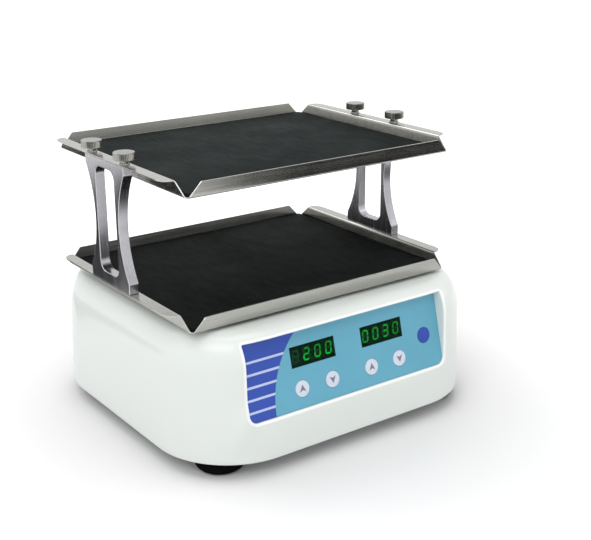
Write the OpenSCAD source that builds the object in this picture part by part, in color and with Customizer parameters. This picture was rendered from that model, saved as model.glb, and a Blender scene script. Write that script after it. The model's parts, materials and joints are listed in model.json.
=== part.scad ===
// Double-deck orbital shaker: moulded housing with an inclined control panel, a belt-driven
// crank with four idler cranks inside, and two trays joined by slotted brackets.
// Millimetres, +Z up, origin under the middle of the housing on the plane of the feet, panel toward -Y.

/* [Housing] */
// Width of the housing
body_w = 348; // [342:2:356]
// Depth of the housing
body_d = 324; // [320:2:332]
// Height of the housing's top above the feet
body_top = 137; // [136:1:142]
// Height of the feet
foot_h = 15; // [13:1:16]
// Corner radius seen from above
corner_r = 80; // [76:1:84]
// Wall thickness
wall = 3; // [2.5:0.5:3.5]

/* [Control panel] */
// Width of the recess
panel_w = 234; // [230:1:238]
// Height of the recess along its slope
panel_h = 74; // [71:1:75]
// Lean of the panel from upright, in degrees
panel_tilt = 14; // [12:1:15]
// Diameter of the keys
key_d = 15.5; // [14:0.5:16.5]
// Travel of the keys
key_travel = 0.6; // [0.4:0.1:0.8]

/* [Trays] */
// Length of a tray's floor
tray_l = 300; // [294:2:306]
// Depth of a tray's floor
tray_d = 250; // [244:2:256]
// Sheet thickness
tray_t = 1.2; // [1:0.1:1.5]
// Height of the flanges
flange_h = 14; // [13:1:16]
// Distance from one tray to the next
tray_rise = 122; // [118:2:136]
// Mat thickness
mat_t = 2.5; // [2:0.5:3]

/* [Brackets] */
// Thickness of the bracket plates
bracket_t = 10; // [9:0.5:11]
// Length of a bracket's foot and head
bracket_l = 76; // [74:1:80]
// Width at the waist
waist_w = 47; // [45:1:50]
// Width of the slot
slot_w = 37; // [34:1:38]
// Diameter of the thumb screws' heads
head_d = 20; // [18:1:21]

/* [Drive] */
// Radius of the orbit
orbit_r = 10; // [8:1:10]
// Belt diameter of the driven pulley
pulley_d = 106; // [102:2:110]
// Speed step from motor to crank
belt_ratio = 3; // [2.5:0.5:3.5]

/* [Hidden] */
$fn = 64;
run_clear = 0.05;      // radial clearance of every running fit
screw_clear = 0.05;    // screws in their holes
loose = 0.3;           // soft or separate pieces side by side
over = 1;              // how far a cutting shape runs past a face

// housing
shoulder_h = 34;       // height of the rounding round the top
shoulder_w = 24;       // its width
draft = 2;             // lean of the walls over their height
belly_z = 40;          // height of the widest part
shoulder_steps = 9;
shoulder_z = body_top - shoulder_h;
base_t = 3;
base_top = foot_h + base_t;
boss_r = 6;
boss_h = 14;
boss_x = body_w / 2 - wall - 9;
boss_y = body_d / 2 - wall - 10;
boss_at = [[-boss_x, -60], [boss_x, -60], [-boss_x, 60], [boss_x, 60],
           [-90, -boss_y], [90, -boss_y], [-60, boss_y], [60, boss_y]];
rib_t = 4;             // webs from the bosses to the wall
post_at = [[75, 48], [-75, 48], [-75, -48], [75, -48]];
post_r = 6;
post_gap = 1;          // post to the edge of its hole at full orbit
hatch_r = orbit_r + post_r + post_gap;
vent_count = 8;
vent_pitch = 9;
vent_size = [40, 3.5];

// panel
panel_x = -5;
panel_in = 13.8;
panel_y = -body_d / 2 + panel_in;
panel_z = foot_h + 75;
panel_corner = 8;
pan_t = 2.5;
pan_side = 3;
overlay_t = 1.2;
band_t = 0.4;
band_r = 94.4;
band_at = [5.9, -36];
stripe_t = 2.2;
stripe_z = [18.6, 7.2, -4.2, -15.6, -27];
display_at = [[-39, 11.8], [43.8, 11.8]];
display_size = [51, 19.6];
pane_gap = 0.1;
led_size = [50.3, 19];
led_t = 8;
led_y = 0.25;
digit_pitch = 12.7;
digit_h = 10.6;
digit_w = 5.9;
segment_w = 1.4;
segment_t = 0.2;
digit_slant = 0.1;
board_y = led_y + led_t;
board_t = 1.6;
board_size = [212, 66];
board_hole = [100, 27];
standoff_r = 3.5;
m3_r = 1.5;
m3_head_r = 2.8;
m3_head_h = 2;
switch_side = 6;
switch_h = 3.5;
plunger_r = 1.7;
plunger_h = 0.6;
press_gap = 0.1;
key_at = [[-56.5, -18.6], [-21.2, -18.6], [26.3, -18.6], [61.5, -18.6], [96.3, -3.4]];
key_proud = 0.8;
key_cap_t = 1.3;
key_gap = 0.3;
stem_r = 2.5;
stem_flange_r = 3.7;
arrow_depth = 0.25;
arrow_half = 3.6;       // half width of the arrow marks
arrow_tip = 3.9;
arrow_tail = -3.1;
arrow_notch = -1.4;

// rear panel
rear_y = body_d / 2 - 5;
rear_x = body_w / 2 - 100;
rear_z = foot_h + 33;
rear_size = [92, 36];
rear_t = 2.5;
inlet_x = body_w / 2 - 77;
inlet_flange = [31, 24];
inlet_body = [27, 19.6];
inlet_cave = [23.6, 16];
inlet_depth = 15;
rocker_x = inlet_x - 47;
frame_flange = [15, 21];
frame_body = [12.8, 18.8];
rocker_hole = [10.6, 17.2];
rocker_size = [10, 15.2];
rocker_pin_r = 1.2;
rocker_tilt = 10;
rocker_pivot = rear_y - 1.7;
flange_t = 2;

// feet
foot_at = [131, 119];
foot_r = 25;
foot_low_r = 17;
foot_pocket = 7;        // depth of the screw's pocket
foot_pocket_r = 6;
base_head_h = 3.2;

// drive
m5_r = 2.5;
m5_head_r = 4.25;
m5_head_h = 5;
spindle_top = base_top + 44;
spindle_r = 24;
spindle_flange_r = 48;
spindle_flange_t = 8;
spindle_cone = 6;      // height of the cone from flange to column
spindle_screw = spindle_flange_r - 9;
shaft_r = 8.5;
bearing_r = 17.5;
bearing_t = 10;
web_z = spindle_top + 3;
web_t = 12;
groove_w = 9;
groove_h = 2;
web_top = web_z + web_t;
pin_r = 7.5;
pin_flange_r = 15;
pin_flange_t = 4;
weight_t = 13;
weight_r = pulley_d / 2 - 3;
weight_bore = pin_flange_r + 7;
weight_from = 10;      // the straight cut across the weight
weight_screw = (weight_r + weight_bore) / 2;
weight_screw_turn = 35;
crank_bite = 7;        // how far the crank's screws go into the pulley
crank_tap = 8;         // depth of their holes
pin_screw = 11;        // from the eccentric pin to its screws
relief_at = 33;        // lightening holes of the driven pulley
relief_r = 11;
hub_r = 14;
hub_rise = 1.5;
carrier_z = web_top + 19;
carrier_t = 10;
carrier_top = carrier_z + carrier_t;
carrier_pin_r = 16;    // outside of the middle bearing
carrier_pin_t = 9;
carrier_edge = 20;     // past the middles of the idler bearings, and its corner radius
window_y = [96, 38];   // the windows before and behind the middle
window_x = [52, 40];   // the windows left and right of it
window_at = 58;
window_corner = 8;
post_head_r = 5;
post_head_h = 5.5;
post_sunk = 6;
post_bite = 11;        // how far the post screws go in
post_low_tap = 12;
post_top_tap = 14;
idler_x = 100;
idler_y = 70;
idler_at = [[idler_x, idler_y], [-idler_x, idler_y], [-idler_x, -idler_y], [idler_x, -idler_y]];
idler_block = 44;      // side of the blocks' square feet
idler_block_t = 6;
idler_block_corner = 5;
idler_screw = 16;      // from the middle of a block to its screws, along both sides
idler_between = 12;    // from one bearing to the next in a block
idler_r = 5;
idler_bearing_r = 13;
idler_bearing_t = 8;
idler_column_r = 17;
idler_top = web_top - 5;
idler_web_t = 8;
idler_web_r = 19;
motor_y = body_d / 2 - 54;
motor_r = 35;
motor_h = 40;
bridge_t = 3;
bridge_top = spindle_top + 1;
bridge_size = [100, 80];
bridge_foot = 15;
bridge_leg = 66;       // width of the legs
bridge_screw = 25;
motor_shaft_r = 4;
motor_screw_at = 25;
motor_boss_r = 14;
motor_belt_r = pulley_d / 2 / belt_ratio;
belt_t = 1.5;
belt_w = 8;
supply_at = [-103, 0];
supply_size = [74, 40];
supply_screw = [supply_size[0] / 2 - 4, supply_size[1] / 2 - 4];
supply_post_r = 3;
supply_z = base_top + 8;

// trays and brackets
cx = -orbit_r;         // the platform rests at the left end of its orbit
tray_clear = 3;
tray_z1 = body_top + tray_clear;
tray_z2 = tray_z1 + tray_rise;
lean_front = 1.5;
lean_side = 2;
lip_w = bracket_t + 1.5;
notch = 12;
lip_back = 2;          // further cut-back of the lips
lip_corner = 10.5;
mat_edge = 2;
mat_corner = 2;
edge_x = tray_l / 2 + lean_side + lip_w;
screw_x = edge_x - bracket_t / 2;
bracket_z = tray_z1 + flange_h;
bracket_h = tray_rise - tray_t;
waist_z = bracket_h * 0.51;
foot_block = 10;
slot_low = 11;
slot_top = 8;
slot_corner = 9;
head_block = 8;         // height of the bracket's square-cut head
thumb_y = 32.4;
under_y = 25;
under_head_h = 1;       // thin heads under the lips
under_reach = 11;
thumb_r = 3;
thumb_depth = 7;
neck_r = 4.8;
neck_h = 4.6;
head_h = 7;
head_chamfer = 0.8;
knurls = 36;
knurl_depth = 0.5;
tapped_extra = 1.5;
sunk_r = 6;
sunk_h = 3.3;
m6_r = 3;

// ---- shared shapes ----

function inset(z) = z <= belly_z ? 0
    : z <= shoulder_z ? draft * (z - belly_z) / (shoulder_z - belly_z) : draft;

// [height, inset] down the outside of the housing, o inside it
function form_levels(o) = concat(
    [for (z = [foot_h - (o > 0 ? over : 0), belly_z, shoulder_z]) [z, inset(z) + o]],
    [for (i = [1 : shoulder_steps]) let (a = 90 * i / shoulder_steps)
        [shoulder_z + (shoulder_h - o) * sin(a), draft + o + (shoulder_w - o) * (1 - cos(a))]]);

module body_form(o = 0) {
    levels = form_levels(o);
    hull() for (i = [0 : len(levels) - 2], sx = [-1, 1], sy = [-1, 1])
        translate([sx * (body_w / 2 - corner_r), sy * (body_d / 2 - corner_r), levels[i][0]])
            cylinder(h = levels[i + 1][0] - levels[i][0],
                     r1 = corner_r - levels[i][1], r2 = corner_r - levels[i + 1][1]);
}

// which way a boss's web points, and how far it reaches into the wall
function boss_turn(p) = abs(p[0]) == boss_x ? (p[0] > 0 ? 0 : 180) : (p[1] > 0 ? 90 : 270);
function boss_reach(p) = (abs(p[0]) == boss_x ? body_w / 2 - boss_x : body_d / 2 - boss_y) - wall / 2;

// a rectangle with rounded corners
module round_rect(size, r) {
    square([size[0] - 2 * r, size[1]], center = true);
    square([size[0], size[1] - 2 * r], center = true);
    for (sx = [-1, 1], sy = [-1, 1])
        translate([sx * (size[0] / 2 - r), sy * (size[1] / 2 - r)]) circle(r);
}

// the waste outside a rounded corner at the origin
module corner_cut(r) difference() {
    translate([-over, -over]) square(r + over);
    translate([r, r]) circle(r);
}

module on_panel() translate([panel_x, panel_y, panel_z]) rotate([-panel_tilt, 0, 0]) children();

// a flat shape standing in the plane x-z, from y0 back to y1
module upright(y0, y1) translate([0, y1, 0]) rotate([90, 0, 0]) linear_extrude(y1 - y0) children();

module panel_outline(gap = 0) difference() {
    square([panel_w - 2 * gap, panel_h - 2 * gap], center = true);
    for (s = [0, 1]) mirror([s, 0])
        translate([-panel_w / 2 + gap, -panel_h / 2 + gap]) corner_cut(panel_corner - gap);
}

module at_displays(gap = 0) for (p = display_at)
    translate(p) square([display_size[0] + 2 * gap, display_size[1] + 2 * gap], center = true);

module ring(outer, inner, h) difference() {
    cylinder(r = outer, h = h);
    translate([0, 0, -over]) cylinder(r = inner, h = h + 2 * over);
}

module cap_screw(r, head_r, head_h, length) {
    difference() {
        cylinder(r = head_r, h = head_h);
        translate([0, 0, head_h * 0.4]) cylinder(r = r * 0.9, h = head_h, $fn = 6);
    }
    translate([0, 0, -length]) cylinder(r = r, h = length + head_h * 0.2);
}

// ---- housing and base ----

module housing() color([0.9, 0.92, 0.9]) difference() {
    union() {
        difference() {
            body_form();
            body_form(wall);
        }
        intersection() {
            body_form();
            union() {
                on_panel() upright(-40, pan_t)
                    square([panel_w + 2 * pan_side, panel_h + 2 * pan_side], center = true);
                translate([rear_x, 0, rear_z]) upright(rear_y - rear_t, rear_y + 20)
                    square([rear_size[0] + 2 * pan_side, rear_size[1] + 2 * pan_side], center = true);
            }
        }
        on_panel() for (sx = [-1, 1], sz = [-1, 1])
            translate([sx * board_hole[0], pan_t - 0.5, sz * board_hole[1]])
                rotate([-90, 0, 0]) cylinder(r = standoff_r, h = board_y - pan_t + 0.5);
        for (p = boss_at) translate([p[0], p[1], base_top]) cylinder(r = boss_r, h = boss_h);
        for (p = boss_at) translate([p[0], p[1], base_top]) rotate(boss_turn(p))
            translate([0, -rib_t / 2, 0]) cube([boss_reach(p), rib_t, boss_h]);
    }
    on_panel() upright(-60, 0) panel_outline();
    on_panel() upright(-over, pan_t + over) for (p = display_at)
        translate(p) square([led_size[0] + 2 * loose, led_size[1] + 2 * loose], center = true);
    on_panel() for (p = key_at) translate([p[0], -over, p[1]])
        rotate([-90, 0, 0]) cylinder(r = stem_r + run_clear, h = pan_t + 2 * over);
    on_panel() for (sx = [-1, 1], sz = [-1, 1])
        translate([sx * board_hole[0], pan_t + 1, sz * board_hole[1]])
            rotate([-90, 0, 0]) cylinder(r = m3_r + screw_clear, h = board_y);
    translate([rear_x, 0, rear_z]) upright(rear_y, rear_y + 30) round_rect(rear_size, 5);
    translate([inlet_x, 0, rear_z]) upright(rear_y - rear_t - over, rear_y + over)
        square([inlet_body[0] + 2 * screw_clear, inlet_body[1] + 2 * screw_clear], center = true);
    translate([rocker_x, 0, rear_z]) upright(rear_y - rear_t - over, rear_y + over)
        square([frame_body[0] + 2 * screw_clear, frame_body[1] + 2 * screw_clear], center = true);
    for (p = post_at) translate([p[0], p[1], body_top - wall - over - 1])
        cylinder(r = hatch_r, h = wall + 2 * over + 2);
    for (p = boss_at) translate([p[0], p[1], base_top - over])
        cylinder(r = m5_r + screw_clear, h = boss_h - 2 + over);
}

module base_plate() color([0.55, 0.57, 0.58]) difference() {
    translate([0, 0, foot_h]) linear_extrude(base_t)
        round_rect([body_w - 2 * (wall + loose), body_d - 2 * (wall + loose)], corner_r - wall - loose);
    for (p = boss_at) translate([p[0], p[1], foot_h - over])
        cylinder(r = m5_r + screw_clear, h = base_t + 2 * over);
    for (sx = [-1, 1], sy = [-1, 1]) translate([sx * foot_at[0], sy * foot_at[1], foot_h - over])
        cylinder(r = m5_r + screw_clear, h = base_t + 2 * over);
    for (a = [45 : 90 : 315]) rotate(a) translate([spindle_screw, 0, foot_h - over])
        cylinder(r = m5_r + screw_clear, h = base_t + 2 * over);
    for (p = idler_at, s = [-1, 1]) translate([p[0] + s * idler_screw, p[1] + s * idler_screw, foot_h - over])
        cylinder(r = m5_r + screw_clear, h = base_t + 2 * over);
    for (sx = [-1, 1], sy = [-1, 1])
        translate([sx * (bridge_size[0] + bridge_foot) / 2, motor_y + sy * bridge_screw, foot_h - over])
            cylinder(r = m5_r + screw_clear, h = base_t + 2 * over);
    for (sx = [-1, 1], sy = [-1, 1])
        translate([supply_at[0] + sx * supply_screw[0], supply_at[1] + sy * supply_screw[1], foot_h - over])
            cylinder(r = m3_r + screw_clear, h = base_t + 2 * over);
    for (s = [-1, 1], i = [0 : vent_count - 1])
        translate([s * 60, -60 - vent_pitch * i, foot_h + base_t / 2])
            cube([vent_size[0], vent_size[1], base_t + 2 * over], center = true);
}

// the screws that close the housing, and those up through the feet
module base_screws() color([0.7, 0.7, 0.72]) {
    for (p = boss_at) translate([p[0], p[1], foot_h]) mirror([0, 0, 1])
        cap_screw(m5_r, m5_head_r, base_head_h, base_t + 8);
    for (sx = [-1, 1], sy = [-1, 1]) translate([sx * foot_at[0], sy * foot_at[1], foot_pocket]) mirror([0, 0, 1])
        cap_screw(m5_r, m5_head_r, base_head_h, base_top - foot_pocket + 1);
}

module feet() color([0.05, 0.05, 0.05]) for (sx = [-1, 1], sy = [-1, 1])
    translate([sx * foot_at[0], sy * foot_at[1], 0]) rotate_extrude() polygon(concat(
        [[m5_r + screw_clear, foot_h], [m5_r + screw_clear, foot_pocket], [foot_pocket_r, foot_pocket], [foot_pocket_r, 0]],
        [for (i = [0 : 8]) let (a = 90 * i / 8)
            [foot_low_r + (foot_r - foot_low_r) * sin(a), (foot_h - 3) * (1 - cos(a))]],
        [[foot_r, foot_h]]));

// ---- control panel ----

module band_outline() difference() {
    panel_outline(loose);
    translate(band_at) circle(band_r, $fn = 128);
    translate([band_at[0], -panel_h]) square([panel_w, 2 * panel_h]);
}

module stripe_bars() for (z = stripe_z)
    translate([-panel_w / 2, z - stripe_t / 2]) square([panel_w / 2, stripe_t]);

module control_overlay() color([0.38, 0.67, 0.76]) on_panel() difference() {
    upright(-overlay_t, 0) difference() {
        panel_outline(loose);
        at_displays(pane_gap);
        for (p = key_at) translate(p) circle(key_d / 2 + key_gap);
    }
    upright(-overlay_t - over, -overlay_t + band_t) band_outline();
}

module panel_band() color([0.14, 0.25, 0.66]) on_panel() upright(-overlay_t, -overlay_t + band_t)
    difference() {
        band_outline();
        stripe_bars();
    }

module panel_stripes() color([0.75, 0.78, 0.93]) on_panel() upright(-overlay_t, -overlay_t + band_t)
    intersection() {
        band_outline();
        stripe_bars();
    }

module display_windows() color([0.03, 0.09, 0.07, 0.6]) on_panel() upright(-overlay_t, 0) at_displays();

module led_block(p) color([0.05, 0.06, 0.06]) on_panel() translate([p[0], 0, p[1]])
    upright(led_y, led_y + led_t) square(led_size, center = true);

module speed_display() led_block(display_at[0]);
module time_display() led_block(display_at[1]);

// one bar of a digit, leaning with the rest
function bar(x, z, flat) = let (l = (flat ? digit_w : digit_h / 2) / 2 - 0.25, w = segment_w / 2)
    [for (p = [[-l, 0], [-l + w, w], [l - w, w], [l, 0], [l - w, -w], [-l + w, -w]])
        let (q = flat ? p : [p[1], p[0]]) [x + q[0] + digit_slant * (z + q[1]), z + q[1]]];

bars = [[0, digit_h / 2, true], [digit_w / 2, digit_h / 4, false], [digit_w / 2, -digit_h / 4, false],
        [0, -digit_h / 2, true], [-digit_w / 2, -digit_h / 4, false], [-digit_w / 2, digit_h / 4, false],
        [0, 0, true]];
lit = [[0, 1, 2, 3, 4, 5], [1, 2], [0, 1, 3, 4, 6], [0, 1, 2, 3, 6]];

module digits(numbers, p) color([0.16, 0.8, 0.3]) on_panel() translate([p[0], 0, p[1]])
    upright(led_y - segment_t, led_y) for (i = [0 : 3])
        translate([(i - 1.5) * digit_pitch, 0])
            if (numbers[i] >= 0) for (k = lit[numbers[i]]) polygon(bar(bars[k][0], bars[k][1], bars[k][2]));

module display_digits() {
    digits([-1, 2, 0, 0], display_at[0]);
    digits([0, 0, 3, 0], display_at[1]);
}

// a round key on its stem, mark 1 pointing up, -1 down, 0 none
module key(i, mark, tint) color(tint) on_panel() translate([key_at[i][0], 0, key_at[i][1]]) {
    difference() {
        upright(-overlay_t - key_proud, -overlay_t - key_proud + key_cap_t) circle(key_d / 2);
        if (mark != 0) upright(-overlay_t - key_proud - over, -overlay_t - key_proud + arrow_depth)
            polygon([[0, arrow_tip * mark], [arrow_half, arrow_tail * mark], [0, arrow_notch * mark],
                     [-arrow_half, arrow_tail * mark]]);
    }
    upright(-overlay_t - key_proud + key_cap_t - 0.2, board_y - switch_h - plunger_h - press_gap - key_travel)
        circle(stem_r);
    upright(pan_t + press_gap, board_y - switch_h - plunger_h - press_gap - key_travel) circle(stem_flange_r);
}

module speed_up_key() key(0, 1, [0.84, 0.87, 0.93]);
module speed_down_key() key(1, -1, [0.84, 0.87, 0.93]);
module time_up_key() key(2, 1, [0.84, 0.87, 0.93]);
module time_down_key() key(3, -1, [0.84, 0.87, 0.93]);
module start_key() key(4, 0, [0.18, 0.22, 0.65]);

module control_board() color([0.05, 0.35, 0.18]) on_panel() upright(board_y, board_y + board_t)
    difference() {
        square(board_size, center = true);
        for (sx = [-1, 1], sz = [-1, 1]) translate([sx * board_hole[0], sz * board_hole[1]])
            circle(m3_r + screw_clear);
    }

module key_switches() color([0.1, 0.1, 0.11]) on_panel() for (p = key_at) translate([p[0], 0, p[1]]) {
    upright(board_y - switch_h, board_y) square(switch_side, center = true);
    upright(board_y - switch_h - plunger_h, board_y - switch_h + 0.2) circle(plunger_r);
}

// the small screws of both boards and of the motor
module small_screws() color([0.75, 0.75, 0.77]) {
    on_panel() for (sx = [-1, 1], sz = [-1, 1])
        translate([sx * board_hole[0], board_y + board_t, sz * board_hole[1]])
            rotate([-90, 0, 0]) cap_screw(m3_r, m3_head_r, m3_head_h, board_t + 4);
    for (sx = [-1, 1], sy = [-1, 1])
        translate([supply_at[0] + sx * supply_screw[0], supply_at[1] + sy * supply_screw[1], supply_z + board_t])
            cap_screw(m3_r, m3_head_r, m3_head_h, supply_z + board_t - base_top + 2);
    for (a = [45 : 90 : 315]) translate([0, motor_y, bridge_top]) rotate(a) translate([motor_screw_at, 0, 0])
        cap_screw(m3_r, m3_head_r, m3_head_h, bridge_t + 5);
}

// ---- rear panel ----

module power_inlet() color([0.06, 0.06, 0.06]) translate([inlet_x, 0, rear_z]) difference() {
    union() {
        upright(rear_y, rear_y + flange_t) round_rect(inlet_flange, 3);
        upright(rear_y - inlet_depth - 2, rear_y + 0.5) square(inlet_body, center = true);
    }
    upright(rear_y + flange_t - inlet_depth, rear_y + flange_t + over) polygon([
        [-inlet_cave[0] / 2, -inlet_cave[1] / 2], [inlet_cave[0] / 2, -inlet_cave[1] / 2],
        [inlet_cave[0] / 2, inlet_cave[1] / 2 - 5], [inlet_cave[0] / 2 - 5, inlet_cave[1] / 2],
        [-inlet_cave[0] / 2 + 5, inlet_cave[1] / 2], [-inlet_cave[0] / 2, inlet_cave[1] / 2 - 5]]);
    for (p = [[-7, -2], [0, 2], [7, -2]])
        upright(rear_y - inlet_depth - 3, rear_y) translate(p) square([2, 4], center = true);
}

module inlet_pins() color([0.78, 0.76, 0.7]) translate([inlet_x, 0, rear_z]) for (p = [[-7, -2], [0, 2], [7, -2]])
    upright(rear_y - inlet_depth - 8, rear_y - 4) translate(p) square([2, 4], center = true);

module power_switch() color([0.08, 0.08, 0.08]) translate([rocker_x, 0, rear_z]) difference() {
    union() {
        upright(rear_y, rear_y + flange_t) round_rect(frame_flange, 1.5);
        upright(rear_y - 14, rear_y + 0.5) square(frame_body, center = true);
    }
    upright(rear_y - 11, rear_y + flange_t + over) square(rocker_hole, center = true);
    translate([-frame_body[0] / 2 + 0.3, rocker_pivot, 0]) rotate([0, 90, 0])
        cylinder(r = rocker_pin_r + run_clear, h = frame_body[0] - 0.6);
}

module switch_rocker() color([0.55, 0.06, 0.06]) translate([rocker_x, rocker_pivot, rear_z]) rotate([-rocker_tilt, 0, 0]) {
    translate([-rocker_size[0] / 2, 0, 0]) rotate([90, 0, 90]) linear_extrude(rocker_size[0])
        polygon([[-4, -3.5], [-4, 3.5], [-0.5, rocker_size[1] / 2], [4.6, rocker_size[1] / 2], [3.2, 0],
                 [4.6, -rocker_size[1] / 2], [-0.5, -rocker_size[1] / 2]]);
    translate([-frame_body[0] / 2 + 0.5, 0, 0]) rotate([0, 90, 0])
        cylinder(r = rocker_pin_r, h = frame_body[0] - 1);
}

// ---- power supply ----

module supply_board() color([0.1, 0.3, 0.12]) difference() {
    union() {
        translate([supply_at[0], supply_at[1], supply_z]) linear_extrude(board_t) square(supply_size, center = true);
        for (sx = [-1, 1], sy = [-1, 1])
            translate([supply_at[0] + sx * supply_screw[0], supply_at[1] + sy * supply_screw[1], base_top])
                cylinder(r = supply_post_r, h = supply_z - base_top + 0.5);
    }
    for (sx = [-1, 1], sy = [-1, 1])
        translate([supply_at[0] + sx * supply_screw[0], supply_at[1] + sy * supply_screw[1], base_top - over])
            cylinder(r = m3_r + screw_clear, h = supply_z - base_top + board_t + 2 * over);
}

module supply_parts() color([0.2, 0.2, 0.22]) translate([supply_at[0], supply_at[1], supply_z + board_t]) {
    translate([-27, -13, 0]) cube([26, 26, 22]);
    translate([10, 8, 0]) cylinder(r = 8, h = 26);
    translate([24, -6, 0]) cylinder(r = 5, h = 16);
    translate([3, -14, 0]) cube([4, 13, 20]);
    translate([10, -17, 0]) cube([16, 5, 12]);
}

// ---- drive ----

module motor_body() color([0.2, 0.2, 0.21]) difference() {
    union() {
        translate([0, motor_y, bridge_top - bridge_t - motor_h]) cylinder(r = motor_r, h = motor_h);
        translate([0, motor_y, bridge_top - bridge_t - 1]) cylinder(r = motor_boss_r, h = bridge_t + 1);
    }
    translate([0, motor_y, bridge_top - bridge_t - motor_h + 4])
        cylinder(r = motor_shaft_r + run_clear, h = motor_h + bridge_t + over);
    for (a = [45 : 90 : 315]) translate([0, motor_y, bridge_top - bridge_t - 6]) rotate(a)
        translate([motor_screw_at, 0, 0]) cylinder(r = m3_r + screw_clear, h = 7);
}

module motor_shaft() color([0.75, 0.75, 0.77]) translate([0, motor_y, bridge_top - bridge_t - motor_h + 4.5])
    cylinder(r = motor_shaft_r, h = motor_h - 4.5 + bridge_t + web_z + web_t - bridge_top + 2);

module flanged_pulley(seat_r, bore_r) rotate_extrude() polygon([
    [bore_r, 0], [seat_r + groove_h, 0], [seat_r + groove_h, (web_t - groove_w) / 2], [seat_r, (web_t - groove_w) / 2],
    [seat_r, (web_t + groove_w) / 2], [seat_r + groove_h, (web_t + groove_w) / 2], [seat_r + groove_h, web_t], [bore_r, web_t]]);

module motor_pulley() color([0.7, 0.71, 0.73]) translate([0, motor_y, web_z])
    flanged_pulley(motor_belt_r, motor_shaft_r + 0.02);

module motor_bridge() color([0.6, 0.62, 0.63]) difference() {
    union() {
        translate([-bridge_size[0] / 2, motor_y - bridge_size[1] / 2, bridge_top - bridge_t])
            cube([bridge_size[0], bridge_size[1], bridge_t]);
        for (s = [0, 1]) mirror([s, 0, 0]) {
            translate([bridge_size[0] / 2 - bridge_t, motor_y - bridge_leg / 2, base_top])
                cube([bridge_t, bridge_leg, bridge_top - base_top]);
            translate([bridge_size[0] / 2 - bridge_t, motor_y - bridge_leg / 2, base_top])
                cube([bridge_foot + bridge_t, bridge_leg, bridge_t]);
        }
    }
    translate([0, motor_y, bridge_top - bridge_t - over]) cylinder(r = motor_boss_r + 0.2, h = bridge_t + 2 * over);
    for (a = [45 : 90 : 315]) translate([0, motor_y, bridge_top - bridge_t - over]) rotate(a)
        translate([motor_screw_at, 0, 0]) cylinder(r = m3_r + screw_clear, h = bridge_t + 2 * over);
    for (sx = [-1, 1], sy = [-1, 1])
        translate([sx * (bridge_size[0] + bridge_foot) / 2, motor_y + sy * bridge_screw, base_top - over])
            cylinder(r = m5_r + screw_clear, h = bridge_t + 2 * over);
}

// every M5 screw that holds the drive to the base plate
module drive_screws() color([0.72, 0.72, 0.74]) {
    for (a = [45 : 90 : 315]) rotate(a) translate([spindle_screw, 0, base_top + spindle_flange_t])
        cap_screw(m5_r, m5_head_r, m5_head_h, spindle_flange_t + base_t);
    for (p = idler_at, s = [-1, 1]) translate([p[0] + s * idler_screw, p[1] + s * idler_screw, base_top + idler_block_t])
        cap_screw(m5_r, m5_head_r, m5_head_h, idler_block_t + base_t);
    for (sx = [-1, 1], sy = [-1, 1])
        translate([sx * (bridge_size[0] + bridge_foot) / 2, motor_y + sy * bridge_screw, base_top + bridge_t])
            cap_screw(m5_r, m5_head_r, m5_head_h, bridge_t + base_t);
}

module belt_loop(gap) hull() {
    circle(pulley_d / 2 + gap, $fn = 96);
    translate([0, motor_y]) circle(motor_belt_r + gap);
}

module drive_belt() color([0.07, 0.07, 0.07]) translate([0, 0, web_z + (web_t - belt_w) / 2])
    linear_extrude(belt_w) difference() {
        belt_loop(loose + belt_t);
        belt_loop(loose);
    }

module spindle_housing() color([0.62, 0.64, 0.66]) translate([0, 0, base_top]) difference() {
    rotate_extrude() polygon([
        [bearing_r, 0], [spindle_flange_r, 0], [spindle_flange_r, spindle_flange_t],
        [spindle_r + 4, spindle_flange_t], [spindle_r, spindle_flange_t + spindle_cone],
        [spindle_r, spindle_top - base_top], [bearing_r, spindle_top - base_top],
        [bearing_r, spindle_top - base_top - bearing_t], [bearing_r - 2.5, spindle_top - base_top - bearing_t],
        [bearing_r - 2.5, spindle_flange_t + bearing_t], [bearing_r, spindle_flange_t + bearing_t]]);
    for (a = [45 : 90 : 315]) rotate(a) translate([spindle_screw, 0, -over])
        cylinder(r = m5_r + screw_clear, h = spindle_flange_t + 2 * over);
}

// a shielded ball bearing: the grooved ends stand for the shields
module bearing(outer, inner, h) rotate_extrude() let (m = (outer + inner) / 2, g = (outer - inner) / 5)
    polygon([[inner, 0], [m - g, 0], [m - g, 0.4], [m + g, 0.4], [m + g, 0], [outer, 0],
             [outer, h], [m + g, h], [m + g, h - 0.4], [m - g, h - 0.4], [m - g, h], [inner, h]]);

module crank_shaft() color([0.72, 0.73, 0.75]) translate([0, 0, base_top + 3])
    cylinder(r = shaft_r, h = web_top - base_top - 3);

module driven_pulley() color([0.66, 0.68, 0.7]) translate([0, 0, web_z]) difference() {
    union() {
        flanged_pulley(pulley_d / 2, shaft_r + 0.02);
        translate([0, 0, -hub_rise]) ring(hub_r, shaft_r + 0.02, 2 * hub_rise);
    }
    for (a = [90, 270]) rotate(a) translate([relief_at, 0, -over]) cylinder(r = relief_r, h = web_t + 2 * over);
    for (s = [-1, 1]) translate([cx, s * pin_screw, web_t - crank_tap])
        cylinder(r = m3_r + screw_clear, h = crank_tap + over);
    for (s = [-1, 1]) rotate(s * weight_screw_turn) translate([weight_screw, 0, web_t - crank_tap])
        cylinder(r = m5_r + screw_clear, h = crank_tap + over);
}

module eccentric_pin() color([0.75, 0.76, 0.78]) translate([cx, 0, web_top]) difference() {
    union() {
        cylinder(r = pin_flange_r, h = pin_flange_t);
        cylinder(r = pin_r, h = carrier_top - web_top - 1);
    }
    for (s = [-1, 1]) translate([0, s * pin_screw, -over]) cylinder(r = m3_r + screw_clear, h = pin_flange_t + 2 * over);
}

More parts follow.
